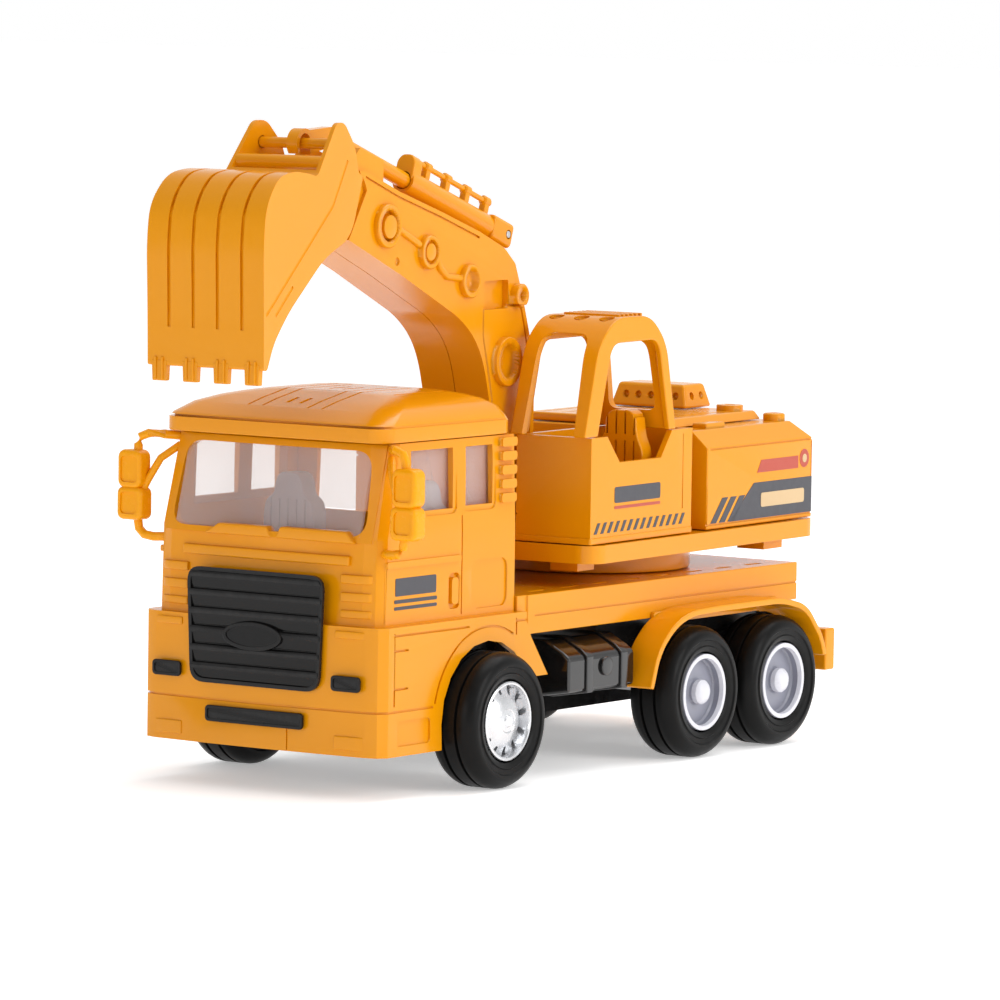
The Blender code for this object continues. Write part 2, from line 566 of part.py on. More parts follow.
def build_bucket(tilt, offset):
    outline = [(-219.2, 131.3), (-219.5, 147.2), (-220.0, 167.3), (-219.2, 177.0), (-214.6, 184.6),
               (-209.0, 188.0), (-203.2, 189.6), (-190.5, 188.6), (-187.5, 187.3), (-181.2, 194.0),
               (-174.9, 202.2), (-172.4, 203.5), (-168.5, 203.2), (-161.1, 196.0), (-158.6, 188.0),
               (-155.6, 187.0), (-163.0, 168.8), (-180.5, 163.2), (-203.7, 147.8), (-213.0, 139.0),
               (-217.0, 131.3)]
    cavity = [(-217.3, 120.0), (-217.6, 147.0), (-218.0, 167.0), (-217.2, 176.4), (-213.0, 183.0),
              (-208.3, 186.0), (-203.0, 187.5), (-187.6, 186.0), (-184.0, 189.5), (-184.0, 215.0), (-145.0, 215.0),
              (-145.0, 150.0), (-165.0, 120.0)]
    bucket = prism("bucket", "x", outline, -24, 24)
    combine(bucket, bucket_wedge(0.0, 110, 220), "INTERSECT")
    hollow = prism("hollow", "x", cavity, -24, 24)
    combine(hollow, bucket_wedge(1.4, 110, 220), "INTERSECT")
    cut(bucket, hollow)
    tooth = [(-219.3, 133.0), (-219.0, 126.7), (-217.6, 126.7), (-217.2, 133.0)]
    for middle in (-16.65, -5.55, 5.55, 16.65):
        weld(bucket, prism("tool", "x", tooth, middle - 2.75, middle + 2.75))
    for y, z in (BUCKET_PIVOT, ROD_EYE):
        reach = bucket_half_width(y) - 0.7
        cut(bucket, rod("tool", "x", (0, y, z), PIN_R + GAP, -reach, reach, 12))
    finish_piece(bucket, YELLOW, tilt, offset)
    for name, (y, z), look in (("bucket_pivot_pin", BUCKET_PIVOT, STEEL), ("bucket_link_pin", ROD_EYE, YELLOW)):
        reach = bucket_half_width(y) - 1.0
        finish_piece(rod(name, "x", (0, y, z), PIN_R, -reach, reach, 10), look, tilt, offset, smooth=True)


CYLINDER_LINE = math.atan2(1.0, 3.0)     # slope of the barrel above level


def along_cylinder(distance, rise=0.0):
    """(y, z) of a point at a distance from the cylinder's rear pivot, along its axis."""
    y0, z0 = CYLINDER_PIVOT
    return (y0 - distance * math.cos(CYLINDER_LINE) - rise * math.sin(CYLINDER_LINE),
            z0 + distance * math.sin(CYLINDER_LINE) - rise * -math.cos(CYLINDER_LINE))


def slanted(piece):
    """Turn a piece made along -Y at the origin onto the cylinder's line."""
    y0, z0 = CYLINDER_PIVOT
    turn = Matrix.Translation(Vector((0, y0, z0)) * MM) @ Matrix.Rotation(-CYLINDER_LINE, 4, "X")
    piece.data.transform(turn)
    return piece


def build_cylinder(swing, swing_offset, slide, slide_offset):
    barrel = lathe("cylinder_barrel", "y", (0, 0, 0),
                   [(2.9, -58.0), (4.0, -58.0), (4.0, -6.5), (2.9, -6.5)], 14)
    weld(barrel, prism("tool", "y", rounded_rectangle((-4.2, -4.0), (4.2, 4.0), 1.5, 1), -9.0, 2.6))
    cut(barrel, box("tool", (-2.6, -6.0, -8), (2.6, 10, 8)))
    collar = prism("tool", "y", [(-3.4, 0), (3.4, 0), (3.4, 6.6), (2.0, 8.4), (-2.0, 8.4), (-3.4, 6.6)], -58.5, -53.0)
    weld(barrel, collar)
    cut(barrel, rod("tool", "y", (0, 0, 0), 2.9, -70, -9.5, 14), rod("tool", "x", (0, 0, 0), 1.5, -20, 20, 10))
    finish_piece(slanted(barrel), YELLOW, swing, swing_offset, smooth=True)

    pipe = rod("hydraulic_pipe", "y", (0, 0, 7.6), 0.9, -52.6, -8.0, 8)
    for step in range(4):
        y = -10.5 - 12.0 * step
        weld(pipe, box("tool", (-1.6, y - 1.8, 4.3), (1.6, y + 1.8, 8.9)))
    finish_piece(slanted(pipe), YELLOW, swing, swing_offset)

    shaft = rod("piston_rod", "y", (0, 0, 0), 2.6, -101.0, -18.0, 12)
    finish_piece(slanted(shaft), YELLOW, slide, slide_offset, smooth=True)
    start = along_cylinder(103.0)
    eye = ROD_EYE
    clevis = prism("rod_end_eye", "x", arc(eye, 4.6, -60, 240, 9), -2.4, 2.4)
    link = [(start[0], start[1] + 3.2), (start[0], start[1] - 3.2), (eye[0] + 3.0, eye[1] - 3.4),
            (eye[0] + 2.0, eye[1] + 4.0)]
    weld(clevis, prism("tool", "x", link, -2.4, 2.4))
    cut(clevis, rod("tool", "x", (0, *eye), PIN_R + 1.3, -20, 20, 12),
        prism("tool", "x", [(eye[0] - 3.0, eye[1]), (eye[0] + 2.6, eye[1]), (eye[0] + 3.4, eye[1] - 12),
                            (eye[0] - 3.8, eye[1] - 12)], -20, 20))
    finish_piece(clevis, YELLOW, slide, slide_offset)


# Assembly ---------------------------------------------------------------------------------------------
def build():
    clear_scene()
    for place, axle_y in AXLES_Y.items():
        build_axle(place, axle_y)
    build_chassis()
    build_deck()
    build_fenders()
    build_tanks()
    build_cab_shell()
    build_cab_roof()
    build_glazing()
    build_cab_fittings()

    slew = make_empty("slew_axis", None, (0, SLEW_Y, 0), SLEW_REST)
    build_platform(slew)
    build_operator_cab(slew)
    build_engine_bay(slew)
    build_boom_bracket(slew)

    def on_axis(name, parent, parent_place, place):
        empty = make_empty(name, parent, (0, place[0] - parent_place[0], place[1] - parent_place[1]))
        return empty, (0, -place[0], -place[1])
    lift, lift_offset = on_axis("boom_axis", slew, (0, 0), BOOM_PIVOT)
    build_boom(lift, lift_offset)
    tilt, tilt_offset = on_axis("bucket_axis", lift, BOOM_PIVOT, BUCKET_PIVOT)
    build_bucket(tilt, tilt_offset)
    swing, swing_offset = on_axis("cylinder_axis", lift, BOOM_PIVOT, CYLINDER_PIVOT)
    build_cylinder(swing, swing_offset, swing, swing_offset)


build()
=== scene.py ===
"""Looks of the toy excavator truck: detailed moulded shells, wheels, glazing and materials round the CAD frame."""
from math import atan2, copysign, cos, degrees, pi, radians, sin, tau

import bmesh
import bpy
from mathutils import Matrix, Vector
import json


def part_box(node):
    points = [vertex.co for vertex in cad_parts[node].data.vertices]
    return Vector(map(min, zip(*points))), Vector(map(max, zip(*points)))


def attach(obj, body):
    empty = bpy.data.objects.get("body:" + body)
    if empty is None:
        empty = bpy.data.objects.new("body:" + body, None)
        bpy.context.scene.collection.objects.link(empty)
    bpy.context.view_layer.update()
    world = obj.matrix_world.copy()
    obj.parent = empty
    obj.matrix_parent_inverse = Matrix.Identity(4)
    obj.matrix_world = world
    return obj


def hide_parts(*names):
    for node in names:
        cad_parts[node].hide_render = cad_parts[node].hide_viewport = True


MM = 0.001
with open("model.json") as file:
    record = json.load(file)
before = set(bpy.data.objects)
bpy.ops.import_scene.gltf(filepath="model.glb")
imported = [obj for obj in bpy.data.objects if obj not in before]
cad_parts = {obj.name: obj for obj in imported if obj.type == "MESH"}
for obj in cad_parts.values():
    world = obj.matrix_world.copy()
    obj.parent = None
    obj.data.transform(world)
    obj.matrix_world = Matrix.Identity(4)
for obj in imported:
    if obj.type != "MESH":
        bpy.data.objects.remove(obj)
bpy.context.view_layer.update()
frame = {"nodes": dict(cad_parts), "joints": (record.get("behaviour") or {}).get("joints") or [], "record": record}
NODES = frame["nodes"]
JOINTS = {joint["name"]: joint for joint in frame["joints"]}
BODY_OF = {node: body for body, names in frame["record"]["behaviour"]["bodies"].items() for node in names}
SLOT_OF = {entry["node"]: entry["material_slot"] for entry in frame["record"]["subparts"]}

# The superstructure is turned a little about the slew axis; its pieces are made in its own straight frame.
slew_place = Vector(JOINTS["slew"]["pos_m"])
lift_axis = Vector(JOINTS["boom_lift"]["axis"])
TURNED = Matrix.Translation((slew_place.x, slew_place.y, 0)) @ Matrix.Rotation(
    atan2(-lift_axis.y, -lift_axis.x), 4, "Z")
STRAIGHT = Matrix.Identity(4)
SIDES = (("left", 1), ("right", -1))


def local_centre(node):
    """The middle of a node's box as (y, z) millimetres in the superstructure's own frame."""
    low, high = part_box(node)
    place = (TURNED.inverted() @ ((low + high) / 2)) / MM
    return place.y, place.z


def box_mm(node):
    """The corners of a node's box in millimetres."""
    low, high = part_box(node)
    return low / MM, high / MM


# Solids in millimetres ------------------------------------------------
AXES = {"x": (1, 2, 0), "y": (0, 2, 1), "z": (0, 1, 2)}


def on_axis(axis, first, second, along):
    place = [0.0, 0.0, 0.0]
    in_plane_1, in_plane_2, out = AXES[axis]
    place[in_plane_1], place[in_plane_2], place[out] = first, second, along
    return place


def new_object(name, data):
    item = bpy.data.objects.new(name, data)
    bpy.context.scene.collection.objects.link(item)
    return item


def as_object(name, builder, matrix):
    bmesh.ops.recalc_face_normals(builder, faces=builder.faces)
    bmesh.ops.scale(builder, vec=(MM, MM, MM), verts=builder.verts)
    mesh = bpy.data.meshes.new(name)
    builder.to_mesh(mesh)
    builder.free()
    piece = new_object(name, mesh)
    piece.matrix_world = matrix
    return piece


def skin(name, rings, matrix=STRAIGHT):
    """Skin matching rings of 3-D points, closed at both ends."""
    builder = bmesh.new()
    rows = [[builder.verts.new(place) for place in ring] for ring in rings]
    count = len(rows[0])
    for lower, upper in zip(rows, rows[1:]):
        for i in range(count):
            j = (i + 1) % count
            builder.faces.new((lower[i], lower[j], upper[j], upper[i]))
    builder.faces.new(rows[0])
    builder.faces.new(rows[-1])
    return as_object(name, builder, matrix)


def prism(axis, outline, low, high, matrix=STRAIGHT, name="tool"):
    return skin(name, [[on_axis(axis, a, b, level) for a, b in outline] for level in (low, high)], matrix)


def sideways(outline, near, far, sign):
    """A prism along x on the chosen side; the outline is in y and z."""
    return prism("x", outline, *sorted((sign * near, sign * far)))


def box(low, high, matrix=STRAIGHT, name="tool"):
    outline = [(low[0], low[1]), (high[0], low[1]), (high[0], high[1]), (low[0], high[1])]
    return prism("z", outline, low[2], high[2], matrix, name)


def lathe(axis, centre, profile, segments=48, matrix=STRAIGHT, name="tool"):
    """Turn (radius, along) points round an axis; a radius of 0 is a pole, and other profiles are loops."""
    builder = bmesh.new()
    in_plane_1, in_plane_2, out = AXES[axis]
    rows = []
    for radius, along in profile:
        row = []
        for step in range(1 if radius == 0 else segments):
            angle = (step + 0.5) * tau / segments - pi / 2
            place = list(centre)
            place[in_plane_1] += radius * cos(angle)
            place[in_plane_2] += radius * sin(angle)
            place[out] += along
            row.append(builder.verts.new(place))
        rows.append(row)
    pairs = list(zip(rows, rows[1:]))
    if len(rows[0]) > 1 and len(rows[-1]) > 1:
        pairs.append((rows[-1], rows[0]))
    for first, second in pairs:
        for i in range(segments):
            j = (i + 1) % segments
            corners = [first[i % len(first)], first[j % len(first)],
                       second[j % len(second)], second[i % len(second)]]
            unique = list(dict.fromkeys(corners))
            if len(unique) > 2:
                builder.faces.new(unique)
    return as_object(name, builder, matrix)


def rod(axis, centre, radius, low, high, segments=32, matrix=STRAIGHT, name="tool"):
    return lathe(axis, centre, [(0, low), (radius, low), (radius, high), (0, high)], segments, matrix, name)


def tube(points, radius, sides=12):
    """A round bar along points, with flat ends."""
    path = [Vector(point) for point in points]
    rings = []
    for i, here in enumerate(path):
        along = (path[min(i + 1, len(path) - 1)] - path[max(i - 1, 0)]).normalized()
        side = along.cross(Vector((1, 0, 0)) if abs(along.x) < 0.7 else Vector((0, 0, 1))).normalized()
        up = side.cross(along)
        rings.append([here + radius * (cos(a) * side + sin(a) * up)
                      for a in (tau * step / sides for step in range(sides))])
    return skin("tool", rings)


def arc(centre, radius, start, end, steps):
    return [(centre[0] + radius * cos(radians(start + (end - start) * step / steps)),
             centre[1] + radius * sin(radians(start + (end - start) * step / steps)))
            for step in range(steps + 1)]


def rounded(low, high, radius, steps=5):
    """A rectangle outline with round corners, running anticlockwise."""
    corners = [(high[0] - radius, low[1] + radius, -90), (high[0] - radius, high[1] - radius, 0),
               (low[0] + radius, high[1] - radius, 90), (low[0] + radius, low[1] + radius, 180)]
    return [point for x, y, start in corners for point in arc((x, y), radius, start, start + 90, steps)]


def line_between(low, high):
    """The outline of a narrow groove."""
    return rounded(low, high, 0.2, 1)


def round_corners(outline, radius, steps=5):
    """A closed outline with each corner replaced by a smooth turn of about the radius."""
    smooth = []
    count = len(outline)
    for i, here in enumerate(outline):
        corner = Vector(here)
        before = Vector(outline[i - 1]) - corner
        after = Vector(outline[(i + 1) % count]) - corner
        reach = min(radius, before.length * 0.45, after.length * 0.45)
        start, end = corner + before.normalized() * reach, corner + after.normalized() * reach
        for step in range(steps + 1):
            t = step / steps
            smooth.append(tuple(start * (1 - t) ** 2 + corner * 2 * t * (1 - t) + end * t ** 2))
    return smooth


# Shaping --------------------------------------------------------------
def apply_modifier(piece, modifier):
    """Put the modified mesh in the piece at once, so that later cuts keep their own crisp lines."""
    bpy.context.view_layer.update()
    result = bpy.data.meshes.new_from_object(piece.evaluated_get(bpy.context.evaluated_depsgraph_get()))
    piece.modifiers.remove(modifier)
    piece.data = result
    return piece


def combine(piece, tool, operation):
    """Shape a piece with a tool, which takes the piece's own frame and is then removed."""
    tool.location, tool.rotation_euler, tool.scale = piece.location, piece.rotation_euler, piece.scale
    modifier = piece.modifiers.new("combine", "BOOLEAN")
    modifier.operation = operation
    modifier.solver = "EXACT"
    modifier.object = tool
    apply_modifier(piece, modifier)
    bpy.data.objects.remove(tool, do_unlink=True)
    return piece


def cut(piece, *tools):
    for tool in tools:
        combine(piece, tool, "DIFFERENCE")
    return piece


def weld(piece, *tools):
    for tool in tools:
        combine(piece, tool, "UNION")
    return piece


def merge(piece, other):
    """Put two closed pieces together in one object without a Boolean."""
    builder = bmesh.new()
    builder.from_mesh(piece.data)
    builder.from_mesh(other.data)
    bpy.data.objects.remove(other, do_unlink=True)
    builder.to_mesh(piece.data)
    builder.free()
    return piece


def mirrored(piece, name):
    """A copy mirrored in x with its faces still pointing out."""
    other = new_object(name, piece.data.copy())
    other.data.transform(Matrix.Diagonal((-1, 1, 1, 1)))
    other.data.flip_normals()
    return other


def copy_of(node, matrix=STRAIGHT):
    """A new piece that starts as the CAD node's shape, with its flat faces joined up again."""
    piece = new_object(node + "_detail", NODES[node].data.copy())
    piece.data.transform(matrix.inverted())
    piece.matrix_world = matrix
    piece.data.materials.clear()
    builder = bmesh.new()
    builder.from_mesh(piece.data)
    bmesh.ops.remove_doubles(builder, verts=builder.verts, dist=0.000005)
    bmesh.ops.dissolve_limit(builder, angle_limit=radians(1.0), verts=builder.verts, edges=builder.edges)
    builder.to_mesh(piece.data)
    builder.free()
    return piece


def bevelled(piece, width, segments, method, clamp, angle):
    bevel = piece.modifiers.new("soft_edges", "BEVEL")
    bevel.width = width * MM
    bevel.segments = segments
    bevel.limit_method = method
    bevel.angle_limit = radians(angle)
    bevel.use_clamp_overlap = clamp
    return apply_modifier(piece, bevel)


SHARP_EDGE = 28.0


def soft(piece, width=0.45, segments=3, angle=SHARP_EDGE):
    """Round the moulded edges."""
    return bevelled(piece, width, segments, "ANGLE", True, angle)


def flow(piece, width, segments=4):
    """Turn the shallow creases of a coarse curve into smooth bends, each as wide as its faces allow."""
    builder = bmesh.new()
    builder.from_mesh(piece.data)
    weight = builder.edges.layers.float.new("bevel_weight_edge")
    for edge in builder.edges:
        if len(edge.link_faces) != 2 or not 9.0 < degrees(edge.calc_face_angle(0.0)) < 52.0:
            continue
        reach = [other.calc_length() / MM for face in edge.link_faces for other in face.edges
                 if other is not edge and set(other.verts) & set(edge.verts)]
        edge[weight] = min(1.0, 0.44 * min(reach) / width)
    builder.to_mesh(piece.data)
    builder.free()
    return bevelled(piece, width, segments, "WEIGHT", False, SHARP_EDGE)


def smooth(piece, angle):
    """Shade round surfaces smooth and keep the edges steeper than the angle crisp."""
    piece.data.shade_smooth()
    piece.data.set_sharp_from_angle(angle=radians(angle))


# Materials ------------------------------------------------------------
def fill(node, inputs):
    """Set a node's inputs to values, or link them to other nodes' outputs."""
    for socket, value in inputs.items():
        if isinstance(value, bpy.types.NodeSocket):
            node.id_data.links.new(value, node.inputs[socket])
        else:
            node.inputs[socket].default_value = value


def made(tree, kind, output, inputs=None, **settings):
    """An output of a new node."""
    node = tree.nodes.new(kind)
    for key, value in settings.items():
        setattr(node, key, value)
    fill(node, inputs or {})
    return node.outputs[output]


def ranged(tree, value, source, target):
    """A value moved from its source range to a target range."""
    limits = zip(("From Min", "From Max", "To Min", "To Max"), (*source, *target))
    return made(tree, "ShaderNodeMapRange", "Result", {"Value": value, **dict(limits)})


def noise(tree, scale, detail=2.0):
    place = made(tree, "ShaderNodeTexCoord", "Object")
    return made(tree, "ShaderNodeTexNoise", "Fac", {"Vector": place, "Scale": scale, "Detail": detail})


def bump(tree, height, strength, distance):
    return made(tree, "ShaderNodeBump", "Normal", {"Height": height, "Strength": strength, "Distance": distance})


def new_material(name):
    """A material with its node tree and its shader."""
    material = bpy.data.materials.new(name)
    material.use_nodes = True
    return material, material.node_tree, material.node_tree.nodes["Principled BSDF"]


def moulded(name, colour, roughness, variation=0.05, wear=0.25, grain=0.0, metallic=0.0, worn_colour=None,
            specular=0.5):
    """Moulded plastic or metal: cloudy colour, uneven gloss, fine grain and slightly rubbed edges."""
    material, tree, shader = new_material(name)
    tint = made(tree, "ShaderNodeMix", "Result", {
        0: noise(tree, 22.0), "A": (*(c * (1 - variation) for c in colour), 1),
        "B": (*(min(1.0, c * (1 + variation)) for c in colour), 1)}, data_type="RGBA")
    edge = ranged(tree, made(tree, "ShaderNodeNewGeometry", "Pointiness"), (0.505, 0.58), (0.0, wear))
    scuffs = noise(tree, 420.0, 4.0)
    rub = made(tree, "ShaderNodeMath", "Value", {0: edge, 1: scuffs}, operation="MULTIPLY")
    worn = worn_colour or tuple(min(1.0, c * 0.75 + 0.25) for c in colour)
    surface = made(tree, "ShaderNodeMix", "Result", {0: rub, "A": tint, "B": (*worn, 1)}, data_type="RGBA")
    fill(shader, {
        "Base Color": surface,
        "Roughness": ranged(tree, scuffs, (0.3, 0.7), (roughness * 0.82, roughness * 1.18)),
        "Normal": bump(tree, noise(tree, 2600.0), 0.05 + grain, 0.00002 + 0.0001 * grain),
        "Metallic": metallic, "Specular IOR Level": specular})
    return material


def clear_plastic(name):
    """Thin clear glazing with a faint warm haze and slight waviness."""
    material, tree, shader = new_material(name)
    haze = noise(tree, 30.0)
    fill(shader, {"Base Color": (0.93, 0.80, 0.77, 1), "Roughness": 0.07,
                  "Alpha": ranged(tree, haze, (0.3, 0.7), (0.16, 0.22)), "Normal": bump(tree, haze, 0.08, 0.0002)})
    return material


DARK = (0.005, 0.0047, 0.0047)
DARK_WORN = (0.10, 0.10, 0.10)
YELLOW = moulded("yellow_plastic", (0.74, 0.278, 0.0006), 0.19, variation=0.025, wear=0.06, specular=0.3,
                 worn_colour=(0.90, 0.46, 0.08))
# Painted light: the mirrors are the same yellow plastic, given here a lighter copy of it so that they look more
# brightly lit than the rest.
MIRROR_PAINTED_LIGHT_YELLOW = moulded("mirror_yellow_plastic_painted_lighter", (0.84, 0.335, 0.001), 0.26, variation=0.025, wear=0.06,
                        specular=0.22, worn_colour=(0.98, 0.58, 0.10))
BLACK = moulded("black_plastic", DARK, 0.2, variation=0.15, wear=0.18, specular=0.22, worn_colour=DARK_WORN)
GLOSS_BLACK = moulded("gloss_black_plastic", DARK, 0.12, variation=0.1, wear=0.15, specular=0.7,
                      worn_colour=DARK_WORN)
RUBBER = moulded("tyre_rubber", (0.004, 0.004, 0.004), 0.36, variation=0.2, wear=0.2, grain=0.05, specular=0.12,
                 worn_colour=(0.05, 0.05, 0.05))
CHROME = moulded("silver_plating", (0.66, 0.67, 0.69), 0.26, variation=0.04, wear=0.3, metallic=0.85,
                 worn_colour=(0.9, 0.9, 0.9))
RIM_GREY = moulded("rim_grey_plastic", (0.27, 0.275, 0.33), 0.35, wear=0.3, worn_colour=(0.8, 0.8, 0.85))
RIM_WHITE = moulded("rim_white_plastic", (0.66, 0.66, 0.71), 0.3, wear=0.2)
SEAT_GREY = moulded("seat_grey_plastic", (0.30, 0.34, 0.43), 0.42, wear=0.3, worn_colour=(0.6, 0.62, 0.68))
STEEL = moulded("plain_steel", (0.55, 0.55, 0.56), 0.32, variation=0.1, metallic=1.0, grain=0.2)
GLAZING = clear_plastic("clear_glazing")
INK = moulded("dark_decal", (0.045, 0.045, 0.055), 0.5, variation=0.12, wear=0.1)
RED_INK = moulded("red_decal", (0.45, 0.058, 0.028), 0.5, variation=0.1, wear=0.1)
PALE_INK = moulded("pale_decal", (0.60, 0.42, 0.22), 0.5, variation=0.08, wear=0.1)
BY_SLOT = {"yellow_plastic": YELLOW, "black_plastic": BLACK, "tyre_rubber": RUBBER, "silver_rim": CHROME,
           "grey_plastic": RIM_GREY, "steel": STEEL, "clear_plastic": GLAZING}


def settle(piece, node, material=None, replace=True):
    """Colour a finished piece and make it ride, and stand for its CAD node unless it is only added to it."""
    piece.data.materials.clear()
    piece.data.materials.append(material or BY_SLOT[SLOT_OF[node]])
    smooth(piece, 36)
    piece.modifiers.new("flat_faces", "WEIGHTED_NORMAL").keep_sharp = True
    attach(piece, BODY_OF[node])
    if replace:
        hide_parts(node)


# Wheels ---------------------------------------------------------------
TYRE_SEAT = 12.85


def make_wheels():
    for place in ("front", "middle", "rear"):
        low, high = box_mm(f"{place}_tyre_left")
        axle = Vector((0, (low.y + high.y) / 2, (low.z + high.z) / 2))
        make_tyre(place, axle, low.x, high.x, (high.z - low.z) / 2)
        rim_low, rim_high = box_mm(f"{place}_rim_left")
        make_rim(place, axle, rim_low.x, rim_high.x, (rim_high.z - rim_low.z) / 2)


def make_tyre(place, axle, inner, outer, radius):
    """A tyre with two tread grooves, a raised sidewall ring and well rounded shoulders."""
    side = [(TYRE_SEAT, 1.1), (13.5, 0.5), (14.6, 0.3), (14.9, 0.65), (16.4, 0.5), (16.8, 0.05), (17.6, 0.0),
            (18.5, 0.3), (19.3, 0.85), (19.95, 1.6), (20.45, 2.4), (radius - 0.2, 3.3), (radius - 0.05, 4.0)]
    groove = [(radius, 4.6), (radius, 5.4), (radius - 0.9, 5.6), (radius - 0.9, 6.3), (radius, 6.5)]
    inner_half = [(r, inner + x) for r, x in side + groove]
    outer_half = [(r, outer - x) for r, x in reversed(side + groove)]
    profile = inner_half + [(radius, (inner + outer) / 2)] + outer_half
    tyre = lathe("x", axle, profile, 96, name=f"{place}_tyre_left_detail")
    right = mirrored(tyre, f"{place}_tyre_right_detail")
    settle(tyre, f"{place}_tyre_left")
    settle(right, f"{place}_tyre_right")


def make_rim(place, axle, inner, outer, radius):
    """A plated dish with slots in front; a plain dish with a bright lip and hub at the rear."""
    if place == "front":
        face = [(0, 0.0), (1.6, -0.1), (2.0, -0.5), (3.4, -0.7), (3.8, -0.4), (6.6, -1.2), (7.6, -2.0), (9.6, -3.0),
                (10.6, -3.2), (radius - 1.35, -0.9)]
    else:
        face = [(0, 0.6), (2.2, 0.35), (3.3, -0.3), (3.7, -1.2), (4.0, -3.4), (4.4, -3.8), (10.3, -4.1),
                (10.9, -3.6), (radius - 1.3, -1.0)]
    lip = [(radius - 1.0, -0.1), (radius - 0.55, 0.0), (radius - 0.1, -0.25), (radius, -0.8)]
    back = [(radius, inner), (radius - 1.0, inner), (radius - 1.3, outer - 6.2), (4.2, outer - 6.4), (3.8, inner),
            (2.2, inner), (2.2, outer - 5.0), (0, outer - 5.0)]
    profile = [(r, outer + x) for r, x in face + lip] + back
    rim = lathe("x", axle, profile, 72, name=f"{place}_rim_left_detail")
    if place == "front":
        for spoke in range(12):
            cut(rim, rim_slot(axle, radians(30 * spoke + 9), outer))
    else:
        add_hub(place, axle, outer, radius)
    other = mirrored(rim, f"{place}_rim_right_detail")
    settle(rim, f"{place}_rim_left")
    settle(other, f"{place}_rim_right")


def rim_slot(axle, turn, outer):
    """A tapered tool that cuts one slot between the spokes."""
    outwards = Vector((0, cos(turn), sin(turn)))
    around = Vector((0, -sin(turn), cos(turn)))
    middle = axle + outwards * 9.5
    return skin("tool", [[Vector((x, middle.y, middle.z)) + a * outwards + b * around
                          for a, b in ((-1.3, -0.5), (1.3, -0.95), (1.3, 0.95), (-1.3, 0.5))]
                         for x in (outer - 8.0, outer + 2.0)])


def add_hub(place, axle, outer, radius):
    """The pale hub cap and rim lip of a rear wheel, on both sides."""
    cap = [(0, -3.0), (3.9, -3.0), (3.9, -1.0), (3.3, -0.2), (2.2, 0.4), (0, 0.65)]
    ring = [(radius - 1.6, -1.6), (radius - 1.45, -0.1), (radius - 0.8, 0.1), (radius - 0.1, -0.1),
            (radius - 0.02, -1.6)]
    hub = lathe("x", axle, [(r, outer + x) for r, x in cap], 40, name=f"{place}_hub_left_detail")
    merge(hub, lathe("x", axle, [(r, outer + x) for r, x in ring], 72))
    settle(mirrored(hub, f"{place}_hub_right_detail"), f"{place}_rim_right", RIM_WHITE, replace=False)
    settle(hub, f"{place}_rim_left", RIM_WHITE, replace=False)


# Truck ----------------------------------------------------------------
CAB_SIDE, SKIRT_SIDE = 42.5, 45.7
PAST_CAB = 5.0
ARCH_CENTRE = (-45.1, 21.0)
REAR_HUB = (107.8, 21.0)


def plan_band(half, front, back, inset, low, high):
    """A U-shaped tool that cuts a line round the front and sides of the cab."""
    edge = [(half, front + 5.2), (half - 2.0, front + 2.4), (half - 6.0, front + 1.2), (half * 0.5, front + 0.3),
            (0.0, front - 0.2)]
    edge = edge + [(-x, y) for x, y in reversed(edge[:-1])]
    line = [(x - copysign(inset, x) if x else 0.0, y + inset) for x, y in edge]
    outline = [(half - inset, back)] + line + [(inset - half, back), (-half - 6, back), (-half - 6, front - 6),
                                               (half + 6, front - 6), (half + 6, back)]
    return prism("z", outline, low, high)


def both_sides(make):
    """The tools that make gives for +1 and -1, in one list."""
    return [tool for sign in (1, -1) for tool in make(sign)]


def cab_front_y(x, z):
    """The cab's crowned and leaning front face at the height of the windscreen."""
    lean = (z - 79.0) / 28.3
    half, front = CAB_SIDE - lean, -98.7 + 7.0 * lean
    points = [(0.0, -0.2), (half * 0.5, 0.3), (half - 6.0, 1.2), (half - 2.0, 2.4)]
    for (x0, y0), (x1, y1) in zip(points, points[1:]):
        if abs(x) <= x1:
            return front + y0 + (y1 - y0) * (abs(x) - x0) / (x1 - x0)
    return front + 2.4


def windscreen_surround():
    """A slightly raised frame with round inner corners."""
    half = 39.2
    columns = [-half + half * step / 8 for step in range(17)]

    def ring(z):
        near = [(x, cab_front_y(x, z) - 0.35, z) for x in columns]
        return near + [(x, cab_front_y(x, z) + 2.6, z) for x in reversed(columns)]
    rim = skin("windscreen_surround", [ring(z) for z in (77.6, 92.0, 106.9)])
    opening = round_corners([(-36.9, 79.3), (36.9, 79.3), (35.0, 104.9), (-35.0, 104.9)], 6.0, 6)
    return cut(rim, prism("y", opening, -106, -84))


